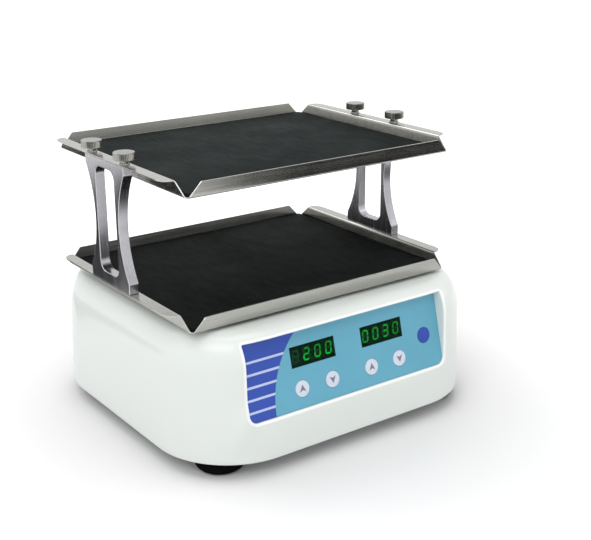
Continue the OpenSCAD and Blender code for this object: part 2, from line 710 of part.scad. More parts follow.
module counterweight() color([0.35, 0.36, 0.38]) translate([0, 0, web_top]) difference() {
    intersection() {
        ring(weight_r, weight_bore, weight_t);
        translate([weight_from, -0.9 * weight_r, 0]) cube([weight_r, 1.8 * weight_r, weight_t]);
    }
    for (s = [-1, 1]) rotate(s * weight_screw_turn) translate([weight_screw, 0, -over])
        cylinder(r = m5_r + screw_clear, h = weight_t + 2 * over);
}

module crank_screws() color([0.72, 0.72, 0.74]) {
    for (s = [-1, 1]) translate([cx, s * pin_screw, web_top + pin_flange_t])
        cap_screw(m3_r, m3_head_r, m3_head_h, pin_flange_t + crank_bite);
    for (s = [-1, 1]) rotate(s * weight_screw_turn) translate([weight_screw, 0, web_top + weight_t])
        cap_screw(m5_r, m5_head_r, m5_head_h, weight_t + crank_bite);
}

module idler_blocks() color([0.62, 0.64, 0.66]) for (p = idler_at) translate([p[0], p[1], base_top]) difference() {
    union() {
        linear_extrude(idler_block_t) round_rect([idler_block, idler_block], idler_block_corner);
        cylinder(r = idler_column_r, h = idler_top - base_top);
    }
    translate([0, 0, -over]) cylinder(r = idler_bearing_r, h = idler_top - base_top - idler_between + over);
    translate([0, 0, -over]) cylinder(r = idler_bearing_r - 2.5, h = idler_top - base_top + 2 * over);
    translate([0, 0, idler_top - base_top - idler_bearing_t]) cylinder(r = idler_bearing_r, h = idler_bearing_t + over);
    for (s = [-1, 1]) translate([s * idler_screw, s * idler_screw, -over])
        cylinder(r = m5_r + screw_clear, h = idler_block_t + 2 * over);
}

module base_bearings() color([0.8, 0.8, 0.82]) {
    for (z = [base_top + spindle_flange_t, spindle_top - bearing_t])
        translate([0, 0, z]) bearing(bearing_r - 0.02, shaft_r + run_clear, bearing_t);
    for (p = idler_at, z = [idler_top - idler_between - idler_bearing_t, idler_top - idler_bearing_t])
        translate([p[0], p[1], z]) bearing(idler_bearing_r - 0.02, idler_r + run_clear, idler_bearing_t);
}

module idler(i) color([0.72, 0.73, 0.75]) translate([idler_at[i][0], idler_at[i][1], 0]) {
    translate([0, 0, idler_top - idler_between - idler_bearing_t - 2])
        cylinder(r = idler_r, h = idler_between + idler_bearing_t + 4);
    translate([cx / 2, 0, idler_top + 1.5]) cylinder(r = idler_web_r, h = idler_web_t);
    translate([cx, 0, idler_top + 2]) cylinder(r = idler_r, h = carrier_top - 1.5 - idler_top - 2);
    translate([cx, 0, idler_top + 2]) cylinder(r = idler_r + 2, h = carrier_z - 0.5 - idler_top - 2);
}

module idler_1() idler(0);
module idler_2() idler(1);
module idler_3() idler(2);
module idler_4() idler(3);

// ---- platform ----

module carrier_plate() color([0.68, 0.7, 0.72]) translate([cx, 0, carrier_z]) difference() {
    union() {
        linear_extrude(carrier_t) difference() {
            round_rect([2 * (idler_x + carrier_edge), 2 * (idler_y + carrier_edge)], carrier_edge);
            for (s = [-1, 1]) translate([0, s * window_at]) round_rect(window_y, window_corner);
            for (s = [-1, 1]) translate([s * window_at, 0]) round_rect(window_x, window_corner);
        }
    }
    translate([0, 0, carrier_t - carrier_pin_t]) cylinder(r = carrier_pin_r, h = carrier_t);
    translate([0, 0, -over]) cylinder(r = carrier_pin_r - 3, h = carrier_t);
    for (p = idler_at) translate([p[0], p[1], carrier_t - idler_bearing_t]) cylinder(r = idler_bearing_r, h = carrier_t);
    for (p = idler_at) translate([p[0], p[1], -over]) cylinder(r = idler_bearing_r - 3, h = carrier_t);
    for (p = post_at) translate([p[0], p[1], -over]) {
        cylinder(r = m6_r + screw_clear, h = carrier_t + 2 * over);
        cylinder(r = post_head_r + 0.2, h = post_sunk + over);
    }
}

module carrier_bearings() color([0.8, 0.8, 0.82]) translate([cx, 0, 0]) {
    translate([0, 0, carrier_top - carrier_pin_t]) bearing(carrier_pin_r - 0.02, pin_r + run_clear, carrier_pin_t);
    for (p = idler_at) translate([p[0], p[1], carrier_top - idler_bearing_t])
        bearing(idler_bearing_r - 0.02, idler_r + run_clear, idler_bearing_t);
}

module support_posts() color([0.75, 0.76, 0.78]) for (p = post_at) translate([cx + p[0], p[1], carrier_top]) difference() {
    cylinder(r = post_r, h = tray_z1 - carrier_top);
    translate([0, 0, -over]) cylinder(r = m6_r + screw_clear, h = post_low_tap + over);
    translate([0, 0, tray_z1 - carrier_top - post_top_tap]) cylinder(r = m6_r + screw_clear, h = post_top_tap + over);
    translate([0, 0, tray_z1 - carrier_top - (sunk_h - tray_t)])
        cylinder(r1 = m6_r + screw_clear, r2 = m6_r + (sunk_r - m6_r) * (sunk_h - tray_t) / sunk_h + screw_clear, h = sunk_h - tray_t);
}

module post_screws() color([0.72, 0.72, 0.74]) for (p = post_at)
    translate([cx + p[0], p[1], carrier_z + post_sunk]) mirror([0, 0, 1])
        cap_screw(m6_r, post_head_r, post_head_h, carrier_t - post_sunk + post_bite);

module tray_screws() color([0.72, 0.72, 0.74]) for (p = post_at) translate([cx + p[0], p[1], tray_z1 + tray_t]) difference() {
    union() {
        translate([0, 0, -sunk_h]) cylinder(r1 = m6_r, r2 = sunk_r, h = sunk_h);
        translate([0, 0, -sunk_h - 9]) cylinder(r = m6_r, h = 9.5);
    }
    translate([0, 0, -2]) cylinder(r = 2.3, h = 3, $fn = 6);
}

// sheet tray with notched corners; the short sides end in level lips
module tray() {
    translate([-tray_l / 2, -tray_d / 2, 0]) cube([tray_l, tray_d, tray_t]);
    for (s = [0, 1]) mirror([0, s, 0]) intersection() {
        translate([-tray_l / 2, 0, 0]) rotate([90, 0, 90]) linear_extrude(tray_l) polygon([
            [tray_d / 2 - tray_t, 0], [tray_d / 2, 0], [tray_d / 2 + lean_front, flange_h],
            [tray_d / 2 + lean_front - tray_t, flange_h]]);
        upright(-tray_d, tray_d) polygon([[-tray_l / 2, 0], [tray_l / 2, 0],
            [tray_l / 2 - notch, flange_h], [-tray_l / 2 + notch, flange_h]]);
    }
    for (s = [0, 1]) mirror([s, 0, 0]) intersection() {
        upright(-tray_d / 2, tray_d / 2) polygon([
            [tray_l / 2 - tray_t, 0], [tray_l / 2, 0], [tray_l / 2 + lean_side, flange_h - tray_t],
            [edge_x, flange_h - tray_t], [edge_x, flange_h],
            [tray_l / 2 + lean_side - tray_t, flange_h]]);
        rotate([90, 0, 90]) linear_extrude(tray_l) polygon([[-tray_d / 2, 0], [tray_d / 2, 0],
            [tray_d / 2 - notch - lip_back, flange_h - tray_t], [tray_d / 2 - notch - lip_back, flange_h],
            [-tray_d / 2 + notch + lip_back, flange_h], [-tray_d / 2 + notch + lip_back, flange_h - tray_t]]);
        linear_extrude(flange_h) difference() {
            translate([0, -tray_d / 2]) square([tray_l, tray_d]);
            for (m = [0, 1]) mirror([0, m]) translate([edge_x, -tray_d / 2 + notch + lip_back])
                mirror([1, 0]) corner_cut(lip_corner);
        }
    }
}

module lower_tray() color([0.68, 0.69, 0.68]) translate([cx, 0, tray_z1]) difference() {
    tray();
    for (p = post_at) translate([p[0], p[1], 0])
        translate([0, 0, tray_t - sunk_h]) cylinder(r1 = m6_r + screw_clear, r2 = sunk_r + screw_clear, h = sunk_h + 0.001);
    for (sx = [-1, 1], sy = [-1, 1]) translate([sx * screw_x, sy * under_y, flange_h - tray_t - over])
        cylinder(r = m5_r + screw_clear, h = tray_t + 2 * over);
}

module upper_tray() color([0.68, 0.69, 0.68]) translate([cx, 0, tray_z2]) difference() {
    tray();
    for (sx = [-1, 1], sy = [-1, 1]) translate([sx * screw_x, sy * thumb_y, flange_h - tray_t - over])
        cylinder(r = thumb_r + run_clear, h = tray_t + 2 * over);
}

module mat(z) translate([cx, 0, z + tray_t]) linear_extrude(mat_t)
    round_rect([tray_l - 2 * (tray_t + mat_edge), tray_d - 2 * (tray_t + mat_edge)], mat_corner);

module lower_mat() color([0.09, 0.1, 0.1]) mat(tray_z1);
module upper_mat() color([0.13, 0.14, 0.14]) mat(tray_z2);

// radius of a side curve that comes in by d over a height h
function sweep_r(h, d) = (h * h + d * d) / (2 * d);

module bracket_side() {
    reach = (bracket_l - waist_w) / 2;
    low = sweep_r(waist_z - foot_block, reach);
    high = sweep_r(bracket_h - head_block - waist_z, reach);
    intersection() {
        translate([waist_w / 2 + low, waist_z]) circle(low, $fn = 180);
        translate([0, foot_block]) square([bracket_l, waist_z - foot_block]);
    }
    intersection() {
        translate([waist_w / 2 + high, waist_z]) circle(high, $fn = 180);
        translate([0, waist_z]) square([bracket_l, bracket_h - head_block - waist_z]);
    }
}

// slotted plate between the lips, standing in the plane y-z
module bracket() translate([edge_x - bracket_t, 0, bracket_z]) difference() {
    rotate([90, 0, 90]) linear_extrude(bracket_t) difference() {
        translate([-bracket_l / 2, 0]) square([bracket_l, bracket_h]);
        for (s = [0, 1]) mirror([s, 0]) bracket_side();
        translate([0, (slot_low + bracket_h - slot_top) / 2])
            round_rect([slot_w, bracket_h - slot_low - slot_top], slot_corner);
    }
    for (s = [-1, 1]) translate([bracket_t / 2, s * under_y, -over])
        cylinder(r = m5_r + screw_clear, h = under_reach + 1 + over);
    for (s = [-1, 1]) translate([bracket_t / 2, s * thumb_y, bracket_h - thumb_depth - tapped_extra])
        cylinder(r = thumb_r + run_clear, h = thumb_depth + tapped_extra + over);
}

module left_bracket() color([0.72, 0.72, 0.76]) translate([cx, 0, 0]) mirror([1, 0, 0]) bracket();
module right_bracket() color([0.72, 0.72, 0.76]) translate([cx, 0, 0]) bracket();

module bracket_screws() color([0.72, 0.72, 0.74]) for (sx = [-1, 1], sy = [-1, 1])
    translate([cx + sx * screw_x, sy * under_y, bracket_z - tray_t]) mirror([0, 0, 1])
        cap_screw(m5_r, m5_head_r, under_head_h, tray_t + under_reach);

module thumb_screw(sx, sy) color([0.74, 0.73, 0.7])
    translate([cx + sx * screw_x, sy * thumb_y, tray_z2 + flange_h]) {
        translate([0, 0, -thumb_depth - tray_t]) cylinder(r = thumb_r, h = thumb_depth + tray_t + 1);
        cylinder(r = neck_r, h = neck_h + 0.5);
        intersection() {
            translate([0, 0, neck_h]) linear_extrude(head_h) polygon([for (i = [0 : 2 * knurls - 1])
                let (r = head_d / 2 - (i % 2) * knurl_depth) [r * cos(180 * i / knurls), r * sin(180 * i / knurls)]]);
            translate([0, 0, neck_h]) rotate_extrude() polygon([[0, 0], [head_d / 2 - head_chamfer, 0],
                [head_d / 2 + 0.2, head_chamfer + 0.2], [head_d / 2 + 0.2, head_h - head_chamfer - 0.2],
                [head_d / 2 - head_chamfer, head_h], [0, head_h]]);
        }
    }

module thumb_screw_1() thumb_screw(-1, -1);
module thumb_screw_2() thumb_screw(-1, 1);
module thumb_screw_3() thumb_screw(1, -1);
module thumb_screw_4() thumb_screw(1, 1);

housing();
base_plate();
base_screws();
feet();
control_overlay();
panel_band();
panel_stripes();
display_windows();
speed_display();
time_display();
display_digits();
speed_up_key();
speed_down_key();
time_up_key();
time_down_key();
start_key();
control_board();
key_switches();
small_screws();
power_inlet();
inlet_pins();
power_switch();
switch_rocker();
supply_board();
supply_parts();
motor_body();
motor_shaft();
motor_pulley();
motor_bridge();
drive_screws();
drive_belt();
spindle_housing();
base_bearings();
crank_shaft();
driven_pulley();
eccentric_pin();
counterweight();
crank_screws();
idler_blocks();
idler_1();
idler_2();
idler_3();
idler_4();
carrier_plate();
carrier_bearings();
support_posts();
post_screws();
tray_screws();
lower_tray();
lower_mat();
left_bracket();
right_bracket();
bracket_screws();
upper_tray();
upper_mat();
thumb_screw_1();
thumb_screw_2();
thumb_screw_3();
thumb_screw_4();
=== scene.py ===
# Double-deck orbital shaker: the looks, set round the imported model.
# Metres, +Z up, the control panel toward -Y, the middle of the feet's plane at the origin.
import math
import json

import bmesh
import bpy
import numpy as np
from mathutils import Matrix, Vector
from mathutils.geometry import delaunay_2d_cdt

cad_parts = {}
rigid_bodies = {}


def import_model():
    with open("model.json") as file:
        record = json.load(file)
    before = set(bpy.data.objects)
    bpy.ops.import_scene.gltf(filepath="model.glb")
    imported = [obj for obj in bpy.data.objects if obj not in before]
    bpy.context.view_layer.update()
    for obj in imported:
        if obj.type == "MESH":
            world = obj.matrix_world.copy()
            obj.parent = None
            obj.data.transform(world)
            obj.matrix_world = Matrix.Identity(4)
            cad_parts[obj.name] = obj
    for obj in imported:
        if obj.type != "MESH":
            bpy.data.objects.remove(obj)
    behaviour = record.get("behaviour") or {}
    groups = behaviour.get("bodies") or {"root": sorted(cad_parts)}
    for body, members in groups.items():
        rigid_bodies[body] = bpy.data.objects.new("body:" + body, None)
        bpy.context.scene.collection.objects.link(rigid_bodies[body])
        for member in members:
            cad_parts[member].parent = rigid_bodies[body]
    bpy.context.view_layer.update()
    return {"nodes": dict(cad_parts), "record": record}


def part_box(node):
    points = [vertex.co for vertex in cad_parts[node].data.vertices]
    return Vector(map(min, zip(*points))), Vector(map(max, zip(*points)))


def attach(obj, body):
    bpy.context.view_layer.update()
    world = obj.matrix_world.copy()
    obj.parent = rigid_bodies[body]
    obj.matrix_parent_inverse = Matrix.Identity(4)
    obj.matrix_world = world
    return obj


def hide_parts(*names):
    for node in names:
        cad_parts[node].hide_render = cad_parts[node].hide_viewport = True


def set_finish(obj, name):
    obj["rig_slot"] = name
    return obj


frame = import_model()
nodes = frame["nodes"]
mm = 0.001
weldGap = 0.004 * mm                         # points of a piece nearer than this become one
print("frame loaded:", len(nodes), "nodes")


def gridFaces(rows, cols, closeCols=False):
    # quads of a rows x cols sheet of points numbered row by row, with the corners (i, j), (i, j + 1),
    # (i + 1, j + 1) and (i + 1, j)
    i, j = np.meshgrid(np.arange(rows - 1), np.arange(cols if closeCols else cols - 1), indexing="ij")
    a = i * cols + j
    b = i * cols + (j + 1) % cols
    return np.stack([a, b, b + cols, a + cols], -1).reshape(-1, 4)


def makePiece(name, sheets, sharpAngle=30):
    # sheets are (points, faces) pairs, and the faces of one sheet have equally many corners; points that meet are
    # joined, and the faces are turned outward
    points, faces, count = [], [], 0
    for sheetPoints, sheetFaces in sheets:
        sheetPoints = np.asarray(sheetPoints, float).reshape(-1, 3)
        points.append(sheetPoints)
        faces += (np.asarray(sheetFaces) + count).tolist()
        count += len(sheetPoints)
    mesh = bpy.data.meshes.new(name)
    mesh.from_pydata(np.concatenate(points).tolist(), [], faces)
    work = bmesh.new()
    work.from_mesh(mesh)
    bmesh.ops.remove_doubles(work, verts=work.verts, dist=weldGap)
    bmesh.ops.dissolve_degenerate(work, edges=work.edges, dist=weldGap)
    bmesh.ops.recalc_face_normals(work, faces=work.faces)
    work.to_mesh(mesh)
    work.free()
    mesh.shade_smooth()
    mesh.set_sharp_from_angle(angle=math.radians(sharpAngle))
    piece = bpy.data.objects.new(name, mesh)
    bpy.context.scene.collection.objects.link(piece)
    return piece


def meshPoints(mesh):
    points = np.empty(len(mesh.vertices) * 3)
    mesh.vertices.foreach_get("co", points)
    return points.reshape(-1, 3)


def atHeight(flat, z):
    # flat points lifted to one height
    return np.concatenate([flat, np.full((len(flat), 1), z)], -1)


def wholeTurn(steps):
    return np.arange(steps) * 2 * math.pi / steps


def insideLoop(points, loop):
    # a point is inside when a line to its right crosses the loop an odd number of times
    x, y = points[:, 0:1], points[:, 1:2]
    x1, y1 = loop[:, 0], loop[:, 1]
    x2, y2 = np.roll(x1, -1), np.roll(y1, -1)
    spans = (y1 > y) != (y2 > y)
    run = np.where(spans, y2 - y1, 1)
    cross = x1 + (y - y1) * (x2 - x1) / run
    return (spans & (x < cross)).sum(1) % 2 == 1


def fillFlat(outline, holes):
    # triangles between a flat outline and its holes: those whose middle lies in the outline and in no hole;
    # 2-D points in, (points, faces) out
    loops = [np.asarray(outline, float)] + [np.asarray(h, float) for h in holes]
    edges, start = [], 0
    for loop in loops:
        index = np.arange(len(loop)) + start
        edges += np.stack([index, np.roll(index, -1)], -1).tolist()
        start += len(loop)
    corners = [Vector(p) for p in np.concatenate(loops)]
    flat, _, faces, _, _, _ = delaunay_2d_cdt(corners, edges, [], 1, 1e-7)
    flat, faces = np.array([tuple(p) for p in flat]), np.array(faces)
    middles = flat[faces].mean(1)
    kept = insideLoop(middles, loops[0])
    for hole in loops[1:]:
        kept &= ~insideLoop(middles, hole)
    return flat, faces[kept]


def filletPath(corners, radius, steps):
    # a line through the corners with each inner corner turned into an arc: the arc's middle lies on the line that
    # halves the corner, radius / sin(half the angle) from it
    corners = np.asarray(corners, float)
    path = [corners[0]]
    for before, at, after in zip(corners[:-2], corners[1:-1], corners[2:]):
        u = (before - at) / np.linalg.norm(before - at)
        v = (after - at) / np.linalg.norm(after - at)
        half = math.acos(np.clip(u @ v, -1, 1)) / 2
        reach = radius / math.tan(half)
        middle = at + (u + v) / np.linalg.norm(u + v) * radius / math.sin(half)
        a, b = at + u * reach - middle, at + v * reach - middle
        turn = math.atan2(a[0] * b[1] - a[1] * b[0], a @ b)
        t = np.linspace(0, turn, steps + 1)[:, None]
        path += list(middle + np.cos(t) * a + np.sin(t) * np.array([-a[1], a[0]]))
    path.append(corners[-1])
    return np.array(path)


def roundedOutline(width, height, corner, arcSteps, sideSteps):
    # a rectangle with round corners, anticlockwise from the start of the lower right arc: four quarter circles, each
    # with a straight run to the next one
    turns = np.linspace(0, math.pi / 2, arcSteps + 1)
    arcs = []
    for k, (sx, sy) in enumerate([(1, -1), (1, 1), (-1, 1), (-1, -1)]):
        a = turns + (k - 1) * math.pi / 2
        centre = np.array([sx * (width / 2 - corner), sy * (height / 2 - corner)])
        arcs.append(centre + corner * np.stack([np.cos(a), np.sin(a)], -1))
    t = np.linspace(0, 1, sideSteps + 1)[1:-1, None]
    runs = [arc[-1] * (1 - t) + after[0] * t for arc, after in zip(arcs, arcs[1:] + arcs[:1])]
    return np.concatenate([part for pair in zip(arcs, runs) for part in pair])


def lathe(profile, centre, turns, wobble=None):
    # a profile of (radius, height) carried round an upright axis: x = radius cos(angle), y = radius sin(angle);
    # wobble(angle, profile) adds to the radius
    profile = np.asarray(profile, float)
    angle = wholeTurn(turns)
    radius = profile[:, 0][:, None] + np.zeros(turns)
    if wobble is not None:
        radius = radius + wobble(angle[None, :], profile)
    x = centre[0] + radius * np.cos(angle)
    y = centre[1] + radius * np.sin(angle)
    z = centre[2] + np.repeat(profile[:, 1][:, None], turns, 1)
    return np.stack([x, y, z], -1).reshape(-1, 3), gridFaces(len(profile), turns, closeCols=True)


def standIn(piece, body, slot, node):
    # the piece rides on a body and is shown instead of its solid
    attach(piece, body)
    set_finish(piece, slot)
    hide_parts(node)


def extra(piece, body, finish):
    # a detail that rides on a body with a finish of its own, beside the record's slots
    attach(piece, body)
    piece["finish"] = finish


def solidify(piece, thickness, offset=-1, even=True):
    wall = piece.modifiers.new("wall", "SOLIDIFY")
    wall.thickness = thickness
    wall.offset = offset
    wall.use_even_offset = even
    wall.use_rim = True


def softenEdges(piece, width, angle):
    edge = piece.modifiers.new("edges", "BEVEL")
    edge.width = width
    edge.segments = 1
    edge.limit_method = "ANGLE"
    edge.angle_limit = math.radians(angle)
    edge.harden_normals = True


def evenNormals(piece):
    # large faces decide the shading, so flats stay flat beside their rounded edges
    normals = piece.modifiers.new("normals", "WEIGHTED_NORMAL")
    normals.mode = "FACE_AREA"
    normals.weight = 90
    normals.keep_sharp = True


housingShape = {
    "cornerRadius": 80 * mm, "lowEdge": 1.2 * mm,
    "belly": 40 * mm, "shoulderHeight": 34 * mm, "shoulderWidth": 24 * mm, "draft": 2 * mm,
    "wall": 2.4 * mm, "postHole": 17 * mm, "postAt": (75 * mm, 48 * mm),
    "frontSteps": 48, "cornerSteps": 24, "sideSteps": 40,
    "uprightRows": 5, "leanRows": 13, "shoulderRows": 16,
    "frontRows": (4, 34), "rearRows": (4, 17),       # the lowest and the highest level of each recess patch
    "patchCorner": 10, "rearSteps": 22,              # corner steps and back steps that the patches take in
    "search": (-60 * mm, 70 * mm), "halvings": 40,   # where the wall is looked for, from a panel's plane
}
panelShape = {
    "centre": (-5 * mm, -148.2 * mm, 90 * mm), "tilt": 14, "size": (234 * mm, 74 * mm),
    "corners": (8 * mm, 8 * mm, 1.6 * mm, 1.6 * mm), "lip": 2.4 * mm, "root": 0.5 * mm, "rim": 2.8 * mm,
    "displayHole": (50.9 * mm, 19.6 * mm), "stemHole": 2.6 * mm,
    "displays": ((-39, 11.8), (43.8, 11.8)),          # millimetres from the panel's middle, as for the keys
    "keys": {"speed_up_key": (-56.5, -18.6), "speed_down_key": (-21.2, -18.6), "time_up_key": (26.3, -18.6),
             "time_down_key": (61.5, -18.6), "start_key": (96.3, -3.4)},
}
rearShape = {
    "centre": (74 * mm, 157 * mm, 48 * mm), "size": (92 * mm, 36 * mm),
    "corners": (5 * mm,) * 4, "lip": 1.5 * mm, "root": 0.6 * mm, "rim": 2 * mm,
    "inlet": (23 * mm, 27.1 * mm, 19.7 * mm),        # place across, width and height of its hole
    "switch": (-24 * mm, 12.9 * mm, 18.9 * mm),
}
patchShape = {"rootSteps": 5, "wallAt": (0.35, 0.7), "lipSteps": 8, "arcSteps": 5, "outSteps": 13, "outPower": 1.25}
# how the painted highlight along the recess's rim rises and fades
rimHighlightFade = {"before": 0.1 * mm, "rise": 0.9 * mm, "fallFrom": 0.8, "fallOver": 0.6, "lowest": -60 * mm}


def planeFrame(centre, outward, across):
    # origin and the across, up and outward directions of a flat panel
    outward, across = np.array(outward, float), np.array(across, float)
    return np.array(centre, float), across, np.cross(outward, across), outward


def panelFrame():
    t = math.radians(panelShape["tilt"])
    return planeFrame(panelShape["centre"], (0, -math.cos(t), math.sin(t)), (1, 0, 0))


def onPlane(planeAt, flat, out):
    # a point of the panel: origin + x * across + y * up + out * outward
    origin, across, up, outward = planeAt
    return origin + flat[..., 0:1] * across + flat[..., 1:2] * up + np.asarray(out)[..., None] * outward


def housingSize():
    # half the width, half the depth, the top and the lower edge
    low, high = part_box("housing")
    return high.x, high.y, high.z, low.z


def housingLevels():
    # (height, inset) rows: a small radius, upright, a slight lean, then a quarter ellipse
    # (shoulder + height sin c, draft + width (1 - cos c))
    s = housingShape
    _, _, top, low = housingSize()
    shoulder = top - s["shoulderHeight"]
    a = np.radians([0, 30, 60, 90])
    foot = np.stack([low + s["lowEdge"] * (1 - np.cos(a)), s["lowEdge"] * (1 - np.sin(a))], -1)
    upright = np.linspace(low + s["lowEdge"], s["belly"], s["uprightRows"] + 1)[1:]
    lean = np.linspace(s["belly"], shoulder, s["leanRows"] + 1)[1:]
    c = np.radians(np.linspace(0, 90, s["shoulderRows"] + 1)[1:])
    return np.concatenate([
        foot, np.stack([upright, 0 * upright], -1),
        np.stack([lean, s["draft"] * (lean - s["belly"]) / (shoulder - s["belly"])], -1),
        np.stack([shoulder + s["shoulderHeight"] * np.sin(c),
                  s["draft"] + s["shoulderWidth"] * (1 - np.cos(c))], -1)])


def housingStations():
    # a centre and an outward direction for each upright line round the housing, from the front left: a wall point is
    # centre + (corner radius - inset) * direction
    s = housingShape
    halfX, halfY, _, _ = housingSize()
    x, y = halfX - s["cornerRadius"], halfY - s["cornerRadius"]
    corners = [(-x, -y), (x, -y), (x, y), (-x, y)]
    counts = [s["frontSteps"], s["sideSteps"], s["frontSteps"], s["sideSteps"]]
    centres, turns = [], []
    for k in range(4):
        a, b = np.array(corners[k]), np.array(corners[(k + 1) % 4])
        t = np.arange(counts[k])[:, None] / counts[k]
        centres.append(a * (1 - t) + b * t)
        turns.append(np.full(counts[k], (k - 1) * 90.0))
        centres.append(np.repeat(b[None], s["cornerSteps"], 0))
        turns.append((k - 1) * 90 + 90 * np.arange(s["cornerSteps"]) / s["cornerSteps"])
    turn = np.radians(np.concatenate(turns))
    return np.concatenate(centres), np.stack([np.cos(turn), np.sin(turn)], -1)


def housingReach(planeAt, flat):
    # how far the outer wall stands in front of a panel's plane, found by halving the stretch between a point inside
    # the round-cornered outline at its own height and one outside
    s = housingShape
    halfX, halfY, top, _ = housingSize()
    shoulder = top - s["shoulderHeight"]
    near, far = (np.full(flat.shape[:-1], end) for end in s["search"])
    for _ in range(s["halvings"]):
        middle = (near + far) / 2
        p = onPlane(planeAt, flat, middle)
        lean = s["draft"] * np.clip((p[..., 2] - s["belly"]) / (shoulder - s["belly"]), 0, 1)
        rise = np.clip((p[..., 2] - shoulder) / s["shoulderHeight"], 0, 1)
        inset = lean + s["shoulderWidth"] * (1 - np.sqrt(1 - rise ** 2))
        dx = np.maximum(abs(p[..., 0]) - (halfX - s["cornerRadius"]), 0)
        dy = np.maximum(abs(p[..., 1]) - (halfY - s["cornerRadius"]), 0)
        outside = (np.hypot(dx, dy) > s["cornerRadius"] - inset) | (p[..., 2] > top)
        far = np.where(outside, middle, far)
        near = np.where(outside, near, middle)
    return (near + far) / 2


def matchedOutline(size, corners, counts, arcSteps):
    # the recess outline with as many points along each side as the patch's own edge, and its normals: a point is its
    # arc's middle + radius * normal, and both run evenly from corner to corner along a side
    w, h = size[0] / 2, size[1] / 2
    signs = ((-1, -1), (1, -1), (1, 1), (-1, 1))
    middles = [np.array([x * (w - r), y * (h - r)]) for (x, y), r in zip(signs, corners)]
    points, normals = [], []
    for k, count in enumerate(counts):
        straight = count - 2 * arcSteps + 1
        t = np.concatenate([np.zeros(arcSteps), np.linspace(0, 1, straight), np.ones(arcSteps)])[:-1, None]
        fan = np.linspace(-45, 0, arcSteps + 1)[:-1]
        angle = np.radians((k - 1) * 90 + np.concatenate([fan, np.zeros(straight), -fan[::-1]])[:-1])
        normal = np.stack([np.cos(angle), np.sin(angle)], -1)
        nextK = (k + 1) % 4
        radius = corners[k] * (1 - t) + corners[nextK] * t
        points.append(middles[k] * (1 - t) + middles[nextK] * t + radius * normal)
        normals.append(normal)
    return np.concatenate(points), np.concatenate(normals)


def recessPatch(planeAt, shape, edgePoints, counts, holes):
    # rings from the outline's floor, up the wall, over a rounded lip and out to the patch's edge;
    # the rim keeps a least height where the housing's round corner falls away, and the lift fades outward with
    # (1 - t)^2 (1 + 2 t)
    s = patchShape
    origin, across, up, _ = planeAt
    lip, root = shape["lip"], shape["root"]
    outline, normal = matchedOutline(shape["size"], shape["corners"], counts, s["arcSteps"])
    lift = np.maximum(shape["rim"] - housingReach(planeAt, outline + normal * lip), 0)
    rings = []
    for a in np.radians(np.linspace(0, 90, s["rootSteps"])):
        flat = outline + normal * root * (math.sin(a) - 1)
        rings.append(onPlane(planeAt, flat, np.full(len(outline), root * (1 - math.cos(a)))))
    wall = np.maximum(housingReach(planeAt, outline) + lift - lip - root, 0)
    for t in s["wallAt"]:
        rings.append(onPlane(planeAt, outline, root + wall * t))
    for a in np.radians(np.linspace(0, 90, s["lipSteps"])):
        flat = outline + normal * lip * (1 - math.cos(a))
        rings.append(onPlane(planeAt, flat, housingReach(planeAt, flat) + lift - lip * (1 - math.sin(a))))
    shift = edgePoints - origin
    outer = np.stack([shift @ across, shift @ up], -1)
    for t in np.linspace(0, 1, s["outSteps"])[1:-1] ** s["outPower"]:
        flat = (outline + normal * lip) * (1 - t) + outer * t
        fade = (1 - t) ** 2 * (1 + 2 * t)
        rings.append(onPlane(planeAt, flat, housingReach(planeAt, flat) + lift * fade))
    rings.append(edgePoints)
    floor, faces = fillFlat(outline - normal * root, holes)
    return [(np.stack(rings), gridFaces(len(rings), len(outline), closeCols=True)),
            (onPlane(planeAt, floor, np.zeros(len(floor))), faces)]


def circleLoop(x, y, radius, steps=32):
    # x + radius cos a, y + radius sin a
    a = wholeTurn(steps)
    return np.stack([x + radius * np.cos(a), y + radius * np.sin(a)], -1)


def boxLoop(x, y, width, height):
    # the four corners, anticlockwise from the lower left
    return np.array([(x - width / 2, y - height / 2), (x + width / 2, y - height / 2),
                     (x + width / 2, y + height / 2), (x - width / 2, y + height / 2)])


def patchEdge(sheet, columns, low, high):
    # the grid points round a patch, anticlockwise from its lower left, and how many lie on each side
    bottom = sheet[low, columns]
    right = sheet[low:high + 1, columns[-1]]
    top = sheet[high, columns][::-1]
    left = sheet[low:high + 1, columns[0]][::-1]
    edge = np.concatenate([bottom[:-1], right[:-1], top[:-1], left[:-1]])
    return edge, [len(bottom) - 1, len(right) - 1, len(top) - 1, len(left) - 1]


def markRimHighlight(piece):
    # an attribute that is 1 on the recess's rounded rim and fades past it, the mask of a painted highlight along the
    # rim; the distance from a rounded box is |max(q, 0)| + min(max(q), 0) - r, with q the place past the corner's
    # middle
    origin, across, up, outward = panelFrame()
    shift = meshPoints(piece.data) - origin
    flat = np.stack([shift @ across, shift @ up], -1)
    radius = np.where(flat[:, 1] < 0, panelShape["corners"][0], panelShape["corners"][2])
    q = abs(flat) - np.array(panelShape["size"]) / 2 + radius[:, None]
    away = np.hypot(*np.maximum(q, 0).T) + np.minimum(q.max(1), 0) - radius
    s, lip = rimHighlightFade, panelShape["lip"]
    rising = np.clip((away + s["before"]) / s["rise"], 0, 1)
    falling = 1 - np.clip((away - s["fallFrom"] * lip) / (s["fallOver"] * lip), 0, 1)
    proud = (shift @ outward > panelShape["root"]) & (flat[:, 1] > s["lowest"])
    rim = piece.data.attributes.new("rim", "FLOAT", "POINT")
    rim.data.foreach_set("value", rising * falling * proud)


